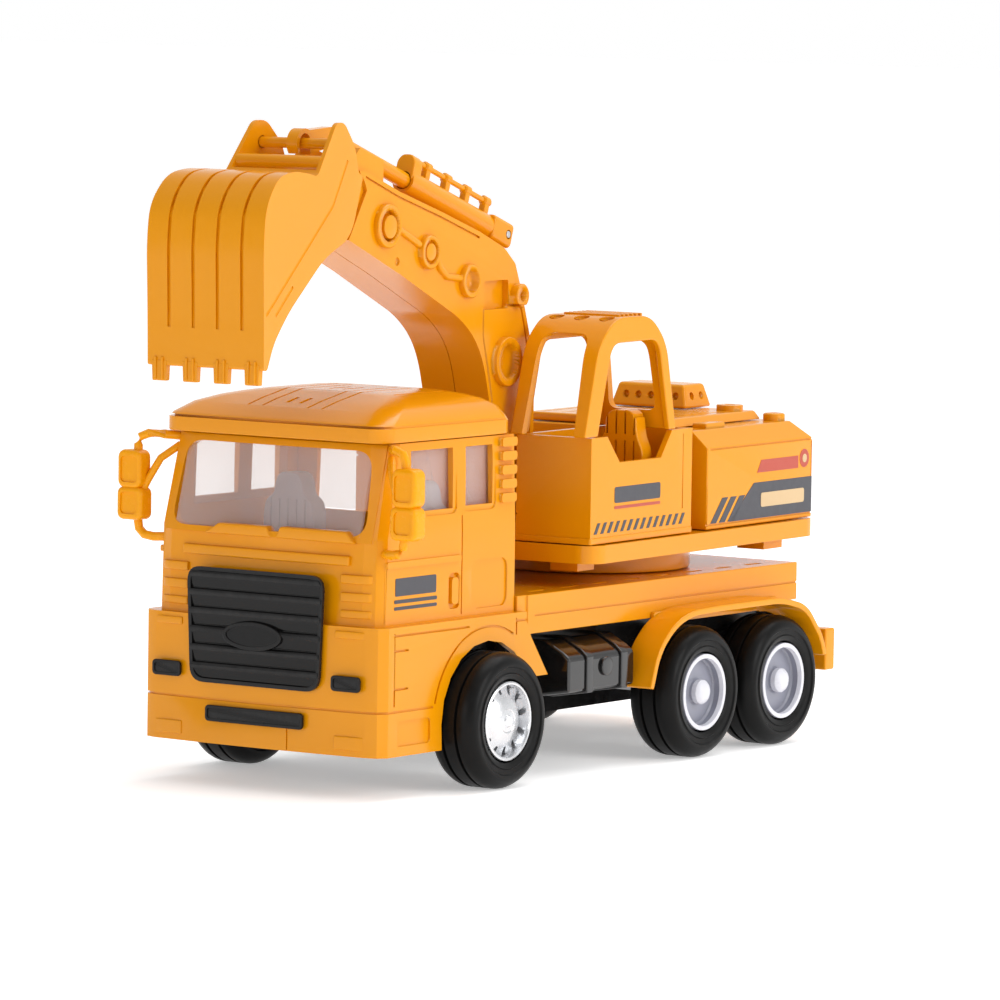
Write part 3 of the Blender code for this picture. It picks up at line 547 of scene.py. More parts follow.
def cab_grooves(sign):
    """Tools for one side: window frames, handle pocket, rear panel, door lines, skirt panels and arch line."""
    def engrave(outline, face, depth):
        return sideways(outline, face - depth, face + PAST_CAB, sign)
    panels = [(rounded((-83.0, 84.7), (-57.6, 106.2), 2.4), CAB_SIDE, 0.7),
              (rounded((-54.3, 84.9), (-37.2, 106.2), 2.2), CAB_SIDE, 0.7),
              (rounded((-61.9, 55.6), (-56.3, 66.6), 1.6), CAB_SIDE, 1.0),
              (rounded((-50.0, 54.8), (-31.0, 69.6), 3.0), CAB_SIDE, 0.6)]
    panels += [(line_between(low, high), CAB_SIDE, 0.5) for low, high in (
        ((-55.4, 53.5), (-54.8, 84.0)), ((-94.8, 53.5), (-94.3, 78.0)), ((-55.4, 106.0), (-54.8, 108.0)))]
    panels.append((rounded((-92.0, 16.3), (-75.0, 24.0), 1.2), SKIRT_SIDE, 0.6))
    arch_line = arc(ARCH_CENTRE, 28.8, 62, 166, 26) + arc(ARCH_CENTRE, 28.0, 166, 62, 26)
    panels.append((arch_line, SKIRT_SIDE, 0.7))
    panels += [(line_between(low, high), SKIRT_SIDE, 0.7) for low, high in (
        ((-94.0, 28.5), (-93.3, 50.8)), ((-94.0, 45.0), (-86.5, 45.7)), ((-94.0, 33.4), (-86.5, 34.1)),
        ((-94.0, 49.6), (-55.0, 50.3)), ((-30.5, 45.6), (-29.8, 51.0)), ((-30.5, 49.6), (-22.5, 50.3)))]
    return [engrave(*panel) for panel in panels]


def cab_lumps(sign):
    """Raised strips for one side: belt line, door handle, air louvres and the steps beside the grille."""
    tools = [sideways(rounded((-94.5, 70.0), (-56.2, 72.0), 0.6), CAB_SIDE - 1, CAB_SIDE + 0.7, sign),
             sideways(rounded((-60.8, 57.0), (-57.4, 65.2), 1.2), CAB_SIDE - 1.4, CAB_SIDE + 0.5, sign)]
    for step in range(5):
        z = 86.6 + 4.3 * step
        tools.append(sideways(rounded((-35.4, z), (-27.6, z + 2.8), 0.9), CAB_SIDE - 1, CAB_SIDE + 0.8, sign))
    upper = [(29.0, -99.3), (36.0, -98.9), (38.6, -98.2), (39.6, -97.3), (39.6, -95.0), (29.0, -95.0)]
    lower = [(29.0, -101.8), (36.0, -101.5), (39.0, -101.0), (40.6, -100.3), (40.6, -97.0), (29.0, -97.0)]
    for outline, low, high in ((upper, 65.3, 68.0), (upper, 59.8, 62.6), (upper, 54.9, 57.3),
                               (lower, 48.9, 51.2), (lower, 15.2, 19.4)):
        tools.append(soft(prism("z", [(sign * x, y) for x, y in outline], low, high), 0.4, 2))
    return tools


def detail_cab():
    shell = soft(copy_of("cab_shell"), 0.7)
    cut(shell, *both_sides(cab_grooves))
    cut(shell, plan_band(SKIRT_SIDE, -101.9, -73.5, 0.5, 26.6, 27.3))
    weld(shell, *both_sides(cab_lumps))
    strip = [(-31.0, -99.3), (-15.0, -100.0), (0.0, -100.4), (15.0, -100.0), (32.0, -99.3), (32.0, -96.5),
             (-31.0, -96.5)]
    weld(shell, soft(prism("z", strip, 70.6, 73.6), 0.5, 2))
    wipers = ([(-22.5, 77.4), (3.0, 77.4), (1.2, 80.8), (-17.0, 80.8)],
              [(4.6, 77.4), (34.6, 77.4), (31.0, 81.0), (6.4, 81.0)])
    weld(shell, *[soft(prism("y", outline, -99.9, -96.0), 0.6, 2) for outline in wipers])
    weld(shell, windscreen_surround())
    cut(shell, box((11.4, -104, 12), (11.9, -101.4, 21)))
    settle(shell, "cab_shell")

    for name, low, high in (("door_mark_block", (-89.5, 61.4), (-68.5, 66.8)),
                            ("door_mark_line_1", (-90.0, 59.2), (-68.0, 60.3)),
                            ("door_mark_line_2", (-90.0, 57.2), (-68.0, 58.2))):
        decal(rounded(low, high, 0.5), INK, name, "cab_shell", CAB_SIDE, STRAIGHT)

    roof = cab_roof_dome()
    for x in (-15.0, -9.5, 7.5, 13.0):
        cut(roof, dome_groove(x, 0.45, -88.0, -42.0))
    for x in (-3.6, 1.4):
        cut(roof, dome_groove(x, 0.7, -62.0, -51.0), dome_groove(x + 0.4, 0.7, -84.0, -78.0))
    for x in (-26.0, 24.0):
        cut(roof, dome_groove(x, 0.45, -66.0, -40.0))
    cut(roof, plan_band(42.3, -95.4, -28.0, 0.55, 112.0, 112.7))
    settle(roof, "cab_roof")


# The roof's outline at each level: half width, front, back and height.
DOME = [(42.3, -96.3, -27.1, 107.6), (42.3, -96.3, -27.1, 111.9), (41.4, -95.0, -27.5, 113.4),
        (38.8, -88.4, -28.4, 116.3), (34.6, -80.6, -30.4, 118.2), (30.0, -74.6, -32.6, 119.3),
        (25.0, -70.6, -35.4, 120.1), (20.0, -67.6, -38.4, 120.6)]
DOME_BAND_TOP = 112.0


def cab_roof_dome():
    """The roof as a smooth dome over a straight band, open beneath."""
    def ring(half, front, back, z, radius):
        return [(x, y, z) for x, y in rounded((-half, front), (half, back), radius, 5)]
    dome = skin("cab_roof_detail", [ring(*level, 6.5) for level in DOME])
    inside = skin("tool", [ring(half - 2.3, front + 2.3, back - 2.3, z - 2.4 * (z > DOME_BAND_TOP), 4.0)
                           for half, front, back, z in [(42.3, -96.3, -27.1, 105.0)] + DOME[1:6]])
    return soft(cut(dome, inside), 0.5, 2, 50.0)


def dome_groove(x, half, front, back):
    """A fore-and-aft slot of even depth in the top of the roof."""
    line = [(y, z) for _, y, _, z in DOME[2:]] + [(y, z) for _, _, y, z in reversed(DOME[2:])]

    def height(y):
        for (y0, z0), (y1, z1) in zip(line, line[1:]):
            if y0 <= y <= y1:
                return z0 + (z1 - z0) * (y - y0) / max(y1 - y0, 0.01)
        return line[0][1]
    steps = [front + (back - front) * i / 14 for i in range(15)]
    floor = [(y, height(y) - 0.75) for y in steps]
    return prism("x", floor + [(back, 130.0), (front, 130.0)], x - half, x + half)


def detail_mirrors():
    """Two stacked rounded heads on a bent arm with a diagonal stay, on each side."""
    arm = ((39.6, -87.6, 105.4), (43.4, -92.8, 106.0), (47.0, -96.2, 106.2), (49.6, -96.3, 105.2),
           (50.8, -96.3, 102.6), (50.8, -96.3, 98.0), (50.8, -96.3, 80.0), (50.2, -96.3, 76.8), (48.2, -96.2, 75.0),
           (45.2, -95.6, 74.5), (41.0, -93.4, 74.6))
    stay = ((40.0, -89.0, 102.8), (44.0, -93.8, 98.6), (47.0, -95.8, 92.4), (49.6, -96.3, 87.6))
    for side, sign in SIDES:
        def head(low, high, radius, front, back):
            left, right = sorted((sign * low[0], sign * high[0]))
            return prism("y", rounded((left, low[1]), (right, high[1]), radius), front, back)
        mirror = soft(head((47.0, 79.4), (56.8, 89.6), 2.2, -99.6, -93.6), 1.2, 3)
        mirror.name = f"side_mirror_{side}_detail"
        weld(mirror, soft(head((47.6, 89.2), (56.6, 101.0), 2.4, -99.6, -93.6), 1.2, 3))
        for path, radius in ((arm, 1.4), (stay, 1.2)):
            weld(mirror, tube([(sign * x, y, z) for x, y, z in path], radius))
        for low, high in ((81.2, 88.0), (91.0, 99.0)):
            cut(mirror, head((48.8, low), (55.2, high), 1.4, -101.0, -99.1))
        # The mirrors take the lighter copy of the yellow plastic, which paints more light on them.
        settle(mirror, f"side_mirror_{side}", MIRROR_PAINTED_LIGHT_YELLOW)


def detail_front_inserts():
    """Grille with six slanted louvres and a plain oval badge, lamp inserts and the lower intake."""
    low, high = box_mm("front_grille")
    front, back = low.y, high.y
    outline = round_corners([(-24.4, 32.1), (24.4, 32.1), (25.9, 67.4), (-25.9, 67.4)], 5.0, 6)
    inner = round_corners([(-23.2, 33.3), (23.2, 33.3), (24.7, 66.2), (-24.7, 66.2)], 4.2, 6)
    middle = round_corners([(-23.9, 32.6), (23.9, 32.6), (25.4, 66.9), (-25.4, 66.9)], 4.7, 6)
    grille = cut(prism("y", outline, front + 0.25, back, name="front_grille_detail"),
                 prism("y", inner, front - 1, back + 1))
    pitch = 5.6
    louvre = ((1.0, 0.0), (0.75, 0.12), (0.45, 0.5), (0.05, 0.66), (0.0, 0.76), (0.05, 0.86), (0.35, 0.92),
              (1.0, 0.96))
    teeth = [(front + depth, 33.0 + pitch * (step + rise)) for step in range(6) for depth, rise in louvre]
    louvres = prism("x", [(back, 32.8)] + teeth + [(back, 66.8)], -27, 27)
    combine(louvres, prism("y", middle, front - 1, back + 1), "INTERSECT")
    weld(grille, louvres)

    def oval(half_width, half_height):
        return [(half_width * cos(a) - 0.6, half_height * sin(a) + 47.4)
                for a in (tau * i / 40 for i in range(40))]
    badge = soft(prism("y", oval(11.2, 4.4), front - 0.35, back - 0.1), 0.3, 2)
    cut(badge, prism("y", oval(9.8, 3.2), front - 1.0, front - 0.05))
    weld(grille, badge)
    settle(grille, "front_grille")
    for node in ("lamp_insert_left", "lamp_insert_right", "bumper_intake"):
        low, high = box_mm(node)
        corners = rounded((low.x, low.z), (high.x, high.z), 1.3)
        insert = soft(prism("y", corners, low.y, high.y, name=node + "_detail"), 0.25, 2)
        pocket = rounded((low.x + 0.9, low.z + 0.9), (high.x - 0.9, high.z - 0.9), 0.8)
        cut(insert, prism("y", pocket, low.y - 1, low.y + 0.35))
        settle(insert, node)


def detail_cab_inside():
    """Cab floor with two seats whose backs narrow to a headrest and carry fluting."""
    low, high = box_mm("cab_interior")
    interior = soft(box(low, (high.x, high.y, low.z + 2.4), name="cab_interior_detail"), 0.4, 2)
    half_back = [(9.6, 60.0), (9.8, 80.0), (8.8, 84.6), (5.6, 86.4), (5.2, 90.6), (3.4, 93.2)]
    for x in (24.0, -24.0):
        cushion = soft(box((x - 9.6, -70.0, 56.2), (x + 9.6, -44.0, 67.0)), 1.6)
        back = [(x - 9.6, 60.0)] + [(x + a, z) for a, z in half_back] + [(x - a, z) for a, z in half_back[:0:-1]]
        rest = soft(prism("y", round_corners(back, 2.2, 3), -55.0, -48.0), 1.2)
        for step in range(5):
            groove = x + (step - 2) * 3.3
            cut(rest, box((groove - 0.4, -57.0, 66.5), (groove + 0.4, -54.2, 85.0)))
        weld(interior, cushion, rest)
    settle(interior, "cab_interior", SEAT_GREY)


def detail_deck():
    deck = soft(copy_of("flatbed_deck"), 0.6)
    _, high = box_mm("flatbed_deck")
    rail_line = [(-18.0, 50.4), (high.y + 1, 50.4), (high.y + 1, 51.0), (-18.0, 51.0)]
    groove_floor, above_deck = 56.7, 60.0
    for sign in (1, -1):
        cut(deck, sideways(rail_line, high.x - 0.5, high.x + 3, sign))
        for step in range(8):
            y = -12.0 + 17.5 * step
            cut(deck, prism("z", rounded((sign * 37.5 - 1.1, y), (sign * 37.5 + 1.1, y + 9.0), 0.9), groove_floor,
                            above_deck))
    for step in range(3):
        cut(deck, box((-30.0, -16.0 + 3.0 * step, groove_floor), (30.0, -15.1 + 3.0 * step, above_deck)))
    settle(deck, "flatbed_deck")

    web = arc(REAR_HUB, 21.8, 16, 92, 14) + [(105.9, 47.0), (119.9, 43.8), (129.6, 33.4), (131.6, 28.2)]
    tank_outline = [(23.4, 23.9), (37.7, 23.3), (50.7, 25.4), (50.7, 36.8), (47.9, 39.2), (41.2, 42.5),
                    (34.0, 42.5)]
    for side, sign in SIDES:
        fender = soft(flow(copy_of(f"rear_fender_{side}"), 4.5, segments=5), 0.45, 2)
        for outline in (rounded((46.0, 43.2), (118.0, 47.0), 0.5, 1), web):
            weld(fender, sideways(outline, 44.3, 45.4, sign))
        settle(fender, f"rear_fender_{side}")
        tank = soft(copy_of(f"fuel_tank_{side}"), 1.0)
        for y in (1.5, 20.5):
            strap = prism("y", [(sign * x, z) for x, z in tank_outline], y, y + 3.6)
            weld(tank, soft(strap, 0.4, 2))
        cap = rod("x", (0, 12.5, 33.0), 3.0, *sorted((sign * 48.0, sign * 51.0)), 28)
        weld(tank, soft(cap, 0.4, 2))
        settle(tank, f"fuel_tank_{side}", GLOSS_BLACK)

    bumper = soft(copy_of("rear_bumper"), 0.7)
    low, high = box_mm("rear_bumper")
    for x in (34, -34):
        cut(bumper, prism("y", rounded((x - 10, 25.0), (x + 10, 31.5), 1.5), high.y - 0.6, high.y + 2))
    settle(bumper, "rear_bumper")
    chassis = soft(copy_of("chassis"), 0.5, 2)
    for sign in (1, -1):
        weld(chassis, sideways(rounded((-20.0, 33.0), (128.0, 44.7), 1.0), 28.0, 34.5, sign))
    weld(chassis, box((-37.6, 126.0, 33.0), (37.6, 128.0, 44.7)))
    settle(chassis, "chassis")
    settle(soft(copy_of("turntable_ring"), 0.5, 2), "turntable_ring")


# Superstructure -------------------------------------------------------
HOUSE_SIDE = 44.0


def decal(outline, material, name, node, face=HOUSE_SIDE, matrix=TURNED):
    """A printed patch a hair thick on a side face that looks towards +x."""
    patch = prism("x", outline, face - 0.1, face + 0.12, matrix, name)
    settle(patch, node, material, replace=False)


def slanted_stripes(low, high, count, width, lean):
    """Parallelogram outlines that lean towards +y, evenly spread between two corners."""
    pitch = (high[0] - low[0] - width - lean) / (count - 1)
    return [[(low[0] + pitch * i, low[1]), (low[0] + pitch * i + width, low[1]),
             (low[0] + pitch * i + width + lean, high[1]), (low[0] + pitch * i + lean, high[1])]
            for i in range(count)]


def smooth_top(outline, radius):
    """Round every corner of an outline except its first and last, which stay square."""
    return [outline[0]] + round_corners(outline, radius, 6)[7:-7] + [outline[-1]]


def operator_cab_arch():
    """The upper cab: a smooth arched hoop on each side, with open front, rear and side windows."""
    outer = [(-19.8, 104.7), (-26.2, 132.6), (-36.0, 141.4), (-57.6, 141.4), (-67.4, 133.0), (-75.0, 104.7)]
    inner = [(-22.0, 100.0), (-28.2, 131.4), (-36.8, 138.9), (-57.0, 138.9), (-65.2, 131.6), (-73.4, 100.0)]
    window = [(-22.8, 100.0), (-31.0, 133.6), (-59.2, 133.4), (-68.4, 100.0)]
    arch = prism("x", smooth_top(outer, 8.0), 16.5, 44.0, TURNED, "operator_cab_frame_detail")
    cut(arch, prism("x", smooth_top(inner, 7.0), 18.6, 41.9),
        prism("x", smooth_top(window, 5.0), 10, 50))
    soft(arch, 0.6)
    front = round_corners([(20.4, 96.0), (40.1, 96.0), (38.6, 136.4), (21.9, 136.4)], 4.0, 5)
    rear = round_corners([(21.6, 110.5), (39.0, 110.5), (38.0, 133.0), (22.6, 133.0)], 3.0, 5)
    return cut(arch, prism("y", front, -82, -58.5), prism("y", rear, -36, -10))


def detail_operator_cab():
    tub = soft(copy_of("operator_cab_base", TURNED), 0.6)
    cut(tub, prism("x", line_between((-71.5, 79.2), (-9.0, 79.7)), 15, 17),
        prism("x", line_between((-15.4, 79.0), (-14.8, 103.0)), HOUSE_SIDE - 0.5, 46))
    weld(tub, soft(prism("z", rounded((16.1, -71.4), (44.4, -9.1), 0.8, 2), 71.0, 73.0), 0.3, 2),
         soft(box((17.0, -12.6, 103.6), (21.0, -9.6, 106.0)), 0.5, 2))
    settle(tub, "operator_cab_base")
    for i, outline in enumerate(slanted_stripes((-69.0, 74.2), (-13.5, 77.6), 14, 1.7, 2.2)):
        decal(outline, INK, f"cab_hatch_{i}", "operator_cab_base")
    decal(rounded((-56.8, 83.3), (-29.0, 88.3), 0.8), INK, "cab_label", "operator_cab_base")
    decal(rounded((-56.8, 81.4), (-29.0, 82.3), 0.3), RED_INK, "cab_label_line", "operator_cab_base")

    cage = operator_cab_arch()
    for x in (21.0, 30.2, 39.4):
        cut(cage, rod("z", (x, -55.5, 0), 2.5, 139.2, 150, 24))
        weld(cage, lathe("z", (x, -55.5, 0), [(1.3, 138.9), (2.0, 138.9), (2.0, 140.6), (1.3, 140.6)], 20))
    for step in range(6):
        y = -50.0 + 2.6 * step
        weld(cage, soft(box((20.0, y, 138.6), (40.5, y + 1.2, 142.0)), 0.3, 2))
    settle(cage, "operator_cab_frame")

    seat = soft(box((22.6, -51.4, 73.4), (38.4, -30.0, 86.0), TURNED, "operator_seat_detail"), 1.6)
    back = [(22.6, 74.0), (38.4, 74.0), (38.8, 98.0), (36.6, 102.4), (36.0, 108.6), (34.0, 110.6), (27.0, 110.6),
            (25.0, 108.6), (24.4, 102.4), (22.2, 98.0)]
    rest = soft(prism("y", round_corners(back, 2.4, 3), -31.6, -25.4), 1.2)
    for step in range(4):
        left, right = 25.25 + 3.3 * step, 25.95 + 3.3 * step
        cut(rest, box((left, -34.0, 89.0), (right, -30.8, 101.0)),
            box((left, -33.0, 103.0), (right, -23.0, 112.0)))
        cut(seat, box((left, -50.0, 85.2), (right, -33.0, 88.0)))
    weld(seat, rest)
    settle(seat, "operator_seat")


def detail_engine_bay():
    detail_engine_housing()
    cover = soft(copy_of("engine_cover", TURNED), 0.7)
    for step in range(7):
        x = -22.5 + 7.5 * step
        cut(cover, box((x - 0.45, 7.0, 105.0), (x + 0.45, 43.0, 108)))
    cap = lathe("z", (20.5, 54.0, 0), [(1.6, 105.0), (4.4, 105.0), (4.4, 107.4), (1.6, 107.4)], 30)
    weld(cover, soft(cap, 0.3, 2))
    settle(cover, "engine_cover")

    filter_box = soft(copy_of("air_filter_box", TURNED), 1.0)
    for x in (-14.5, -9.8, -5.1, -0.4, 4.3):
        cut(filter_box, rod("y", (x, 0, 109.7), 1.3, 40.0, 47.6, 20))
    for y in (50.5, 56.5):
        cut(filter_box, rod("x", (0, y, 109.7), 1.3, 6.6, 12.0, 20))
    settle(filter_box, "air_filter_box")

    chest = soft(copy_of("tool_box_right", TURNED), 0.9)
    cut(chest, box((-45, -72, 94.2), (-16, -9, 94.8)))
    weld(chest, soft(box((-43.4, -70.4, 93.0), (-17.1, -10.1, 96.0)), 0.3, 1))
    for step in range(5):
        y = -60.0 + 10.0 * step
        cut(chest, box((-40, y, 100.5), (-20.5, y + 1.0, 104)))
    cut(chest, prism("x", rounded((-62.0, 76.0), (-18.0, 90.0), 2.0), -46, -43.4))
    settle(chest, "tool_box_right")
    settle(soft(flow(copy_of("slewing_platform", TURNED), 1.4), 0.9), "slewing_platform")
    settle(soft(copy_of("boom_bracket", TURNED), 0.5, 2), "boom_bracket")


def detail_engine_housing():
    """Panel lines, side slits and rear louvres, two rear blocks, a filler cap and a hinge block, and decals."""
    housing = soft(copy_of("engine_housing", TURNED), 0.7)
    past_side = 47
    for sign in (1, -1):
        for low, high in (((2.0, 96.4), (68.5, 97.0)), ((0.0, 72.2), (68.5, 72.8)), ((67.0, 73.0), (67.5, 96.0))):
            cut(housing, sideways(line_between(low, high), HOUSE_SIDE - 0.5, past_side, sign))
    for step in range(4):
        y = 46.0 + 3.0 * step
        cut(housing, sideways(rounded((y, 76.0), (y + 1.4, 90.0), 0.6), HOUSE_SIDE - 0.8, past_side, -1))
    for step in range(6):
        z = 75.0 + 3.2 * step
        cut(housing, prism("y", rounded((-26.0, z), (26.0, z + 1.6), 0.7), 67.2, 72))
    for x in (36, -36):
        block = prism("y", rounded((x - 4, 76.0), (x + 4, 84.0), 1.5), 66.5, 68.8)
        weld(housing, soft(block, 0.4, 2))
    filler = [(1.3, 102.0), (3.6, 102.0), (3.6, 104.6), (3.0, 105.0), (1.3, 105.0)]
    weld(housing, soft(lathe("z", (33.5, 60.5, 0), filler, 28), 0.2, 2),
         soft(box((31.0, 12.0, 101.5), (36.5, 24.0, 104.2)), 0.6, 2))
    settle(housing, "engine_housing")

    def disc(radius):
        return arc((62.6, 90.6), radius, 0, 348, 29)
    over_decal = HOUSE_SIDE + 0.12
    for name, outline, ink, face in (
            ("band", [(15.0, 72.8), (67.6, 72.8), (67.6, 84.4), (30.0, 84.4)], INK, HOUSE_SIDE),
            ("band_plate", rounded((34.5, 76.3), (62.5, 80.9), 0.9), PALE_INK, over_decal),
            ("red_stripe", [(32.0, 87.6), (58.6, 87.6), (58.6, 91.6), (34.6, 91.6)], RED_INK, HOUSE_SIDE),
            ("red_disc", disc(3.0), RED_INK, HOUSE_SIDE),
            ("red_disc_eye", disc(1.4), PALE_INK, over_decal)):
        decal(outline, ink, f"engine_{name}", "engine_housing", face)
    for i, outline in enumerate(slanted_stripes((2.6, 72.9), (24.5, 80.8), 3, 3.6, 7.4)):
        decal(outline, INK, f"engine_hatch_{i}", "engine_housing")


# Boom, bucket and cylinder --------------------------------------------
BOOM_SIDE, PAST_BOOM = 12.2, 16.0


def boom_disc(sign, place, radius, rise):
    """A round boss on a boom side, with a small chamfer."""
    foot, shoulder, top = (sign * (BOOM_SIDE + level) for level in (-1.2, rise - 0.3, rise))
    profile = [(0, foot), (radius, foot), (radius, shoulder), (radius - 0.35, top), (0, top)]
    return lathe("x", (0, *place), profile, 36)


def boom_dip(sign, place, radius, floor):
    return rod("x", (0, *place), radius, *sorted((sign * floor, sign * PAST_BOOM)), 32)


def detail_boom():
    """Shells with ringed bosses, a raised pipe, a recess, and engraved foot panel and top line."""
    foot, tip = (-72.0, 127.0), (-141.0, 171.5)
    front, middle, rear = (-117.6, 162.8), (-94.0, 153.0), (-65.7, 147.4)
    pipes = ([(-135.0, 170.6), (-129.0, 168.0), (-122.5, 165.2)],
             [(-112.6, 160.8), (-110.9, 157.8), (-106.8, 154.9), (-98.9, 154.0)])
    recess = rounded((-84.5, 143.6), (-70.5, 152.6), 0.8)
    panel = round_corners([(-85.2, 145.5), (-85.2, 135.0), (-82.4, 126.0), (-79.2, 114.0), (-76.6, 103.0),
                           (-56.4, 103.0), (-56.2, 118.0), (-59.2, 134.0), (-62.6, 144.6)], 2.0, 3)
    panel_inside = round_corners([(-84.4, 144.7), (-84.4, 135.2), (-81.6, 126.2), (-78.4, 114.2), (-75.9, 103.8),
                                  (-57.2, 103.8), (-57.0, 118.0), (-60.0, 133.8), (-63.3, 143.9)], 2.0, 3)
    top_edge = [(-152.4, 187.0), (-141.0, 182.9), (-133.2, 180.2), (-110.0, 173.6), (-87.6, 166.6)]
    top_line = top_edge + [(y - 0.2, z - 0.7) for y, z in reversed(top_edge)]
    for side, sign in SIDES:
        shell = soft(flow(copy_of(f"boom_shell_{side}", TURNED), 5.0, segments=5), 0.9)
        weld(shell, *[boom_disc(sign, *disc) for disc in (
            (foot, 7.8, 2.0), (tip, 6.8, 1.6), (front, 5.3, 1.8), (middle, 5.3, 1.8), (rear, 3.8, 2.6))])
        cut(shell, *[boom_dip(sign, *dip) for dip in (
            (foot, 5.4, 11.8), (tip, 4.9, 11.4), (front, 3.8, 12.4), (middle, 3.6, 11.8), (rear, 1.7, 11.2))])
        weld(shell, boom_disc(sign, (-140.0, 171.2), 3.7, 1.3), boom_disc(sign, (-117.4, 162.8), 2.8, 1.6))
        cut(shell, boom_dip(sign, (-134.5, 160.4), 1.3, 11.5))
        for pipe in pipes:
            weld(shell, tube([(sign * 12.4, y, z) for y, z in pipe], 1.15))
        cut(shell, sideways(recess, BOOM_SIDE - 2.2, PAST_BOOM, sign))
        cut(shell, cut(sideways(panel, BOOM_SIDE - 0.9, PAST_BOOM, sign),
                       sideways(panel_inside, 10, 18, sign)))
        cut(shell, sideways(top_line, BOOM_SIDE - 0.8, PAST_BOOM, sign))
        settle(shell, f"boom_shell_{side}")


bucket_pivot, link_pivot = local_centre("bucket_pivot_pin"), local_centre("bucket_link_pin")
TEETH_X = (-16.65, -5.55, 5.55, 16.65)


def bucket_half(y, inset=0.0):
    """The bucket narrows in plan from its front shell to its ears."""
    return 21.0 - 0.12 * (y + 220.0) - inset


def bucket_wedge(inset):
    front, back = -226.0, -140.0
    a, b = bucket_half(front, inset), bucket_half(back, inset)
    return prism("z", [(-a, front), (a, front), (b, back), (-b, back)], 100, 230)


def bucket_body():
    """A curved scoop with two ears; its crown is one smooth bend."""
    outline = [(-219.2, 131.3), (-219.5, 147.2), (-220.2, 168.0), (-219.0, 179.6), (-211.4, 188.2), (-201.0, 189.8),
               (-190.5, 188.6), (-186.0, 187.6), (-173.6, 203.6), (-168.5, 203.4), (-161.1, 196.0), (-158.6, 188.0),
               (-155.6, 187.0), (-163.0, 168.8), (-180.5, 163.2), (-203.7, 147.8), (-213.0, 139.0), (-217.0, 131.3)]
    cavity = [(-217.3, 120.0), (-217.6, 147.0), (-218.2, 168.0), (-217.0, 178.8), (-210.2, 186.2), (-201.0, 187.7),
              (-187.6, 186.0), (-184.0, 189.5), (-184.0, 215.0), (-145.0, 215.0), (-145.0, 150.0), (-165.0, 120.0)]
    body = prism("x", round_corners(outline, 6.5, 6), -26, 26, TURNED, "bucket_detail")
    combine(body, bucket_wedge(0.0), "INTERSECT")
    hollow = prism("x", round_corners(cavity, 5.0, 5), -26, 26)
    combine(hollow, bucket_wedge(1.4), "INTERSECT")
    cut(body, hollow)
    soft(body, 0.4, 2, 40.0)
    for middle in TEETH_X:
        tooth = [(middle - 2.75, 133.0), (middle - 2.45, 126.8), (middle + 2.45, 126.8), (middle + 2.75, 133.0)]
        weld(body, soft(prism("y", tooth, -219.4, -217.2), 0.3, 2))
    for y, z in (bucket_pivot, link_pivot):
        reach = bucket_half(y, 0.7)
        cut(body, rod("x", (0, y, z), 2.0, -reach, reach, 28))
    return body


def detail_bucket():
    """Four grooves over the crown, ribbed teeth, engraved side lines and a cross bar between the ears."""
    scoop = bucket_body()
    floor = [(-218.9, 143.0), (-218.8, 147.2), (-219.3, 167.2), (-218.5, 176.7), (-214.1, 184.1), (-208.7, 187.4),
             (-203.1, 189.0), (-197.0, 188.6)]
    outside = [(-222.9, 143.0), (-222.6, 147.2), (-223.1, 167.3), (-222.3, 177.1), (-217.7, 186.8), (-212.0, 190.2),
               (-206.2, 191.8), (-200.0, 191.4)]
    for x in (-13.1, -4.35, 4.35, 13.1):
        cut(scoop, prism("x", floor + outside[::-1], x - 0.6, x + 0.6))
    for middle in TEETH_X:
        for x in (middle - 1.2, middle + 1.2):
            weld(scoop, soft(box((x - 0.4, -219.9, 127.2), (x + 0.4, -218.0, 134.0)), 0.2, 1))
    for sign in (1, -1):
        for line in ([(-218.0, 147.6), (-175.5, 178.6), (-166.0, 192.0)], [(-212.0, 147.2), (-201.0, 155.4)]):
            cut(scoop, tube([(sign * bucket_half(y, -0.25), y, z) for y, z in line], 0.62, sides=8))
    weld(scoop, rod("x", (0, -180.4, 191.4), 2.3, -15.4, 15.4, 28))
    settle(scoop, "bucket")


CYLINDER_SLOPE = atan2(1.0, 3.0)
ROD_REACH = 103.0
EYE_BORE = 3.0


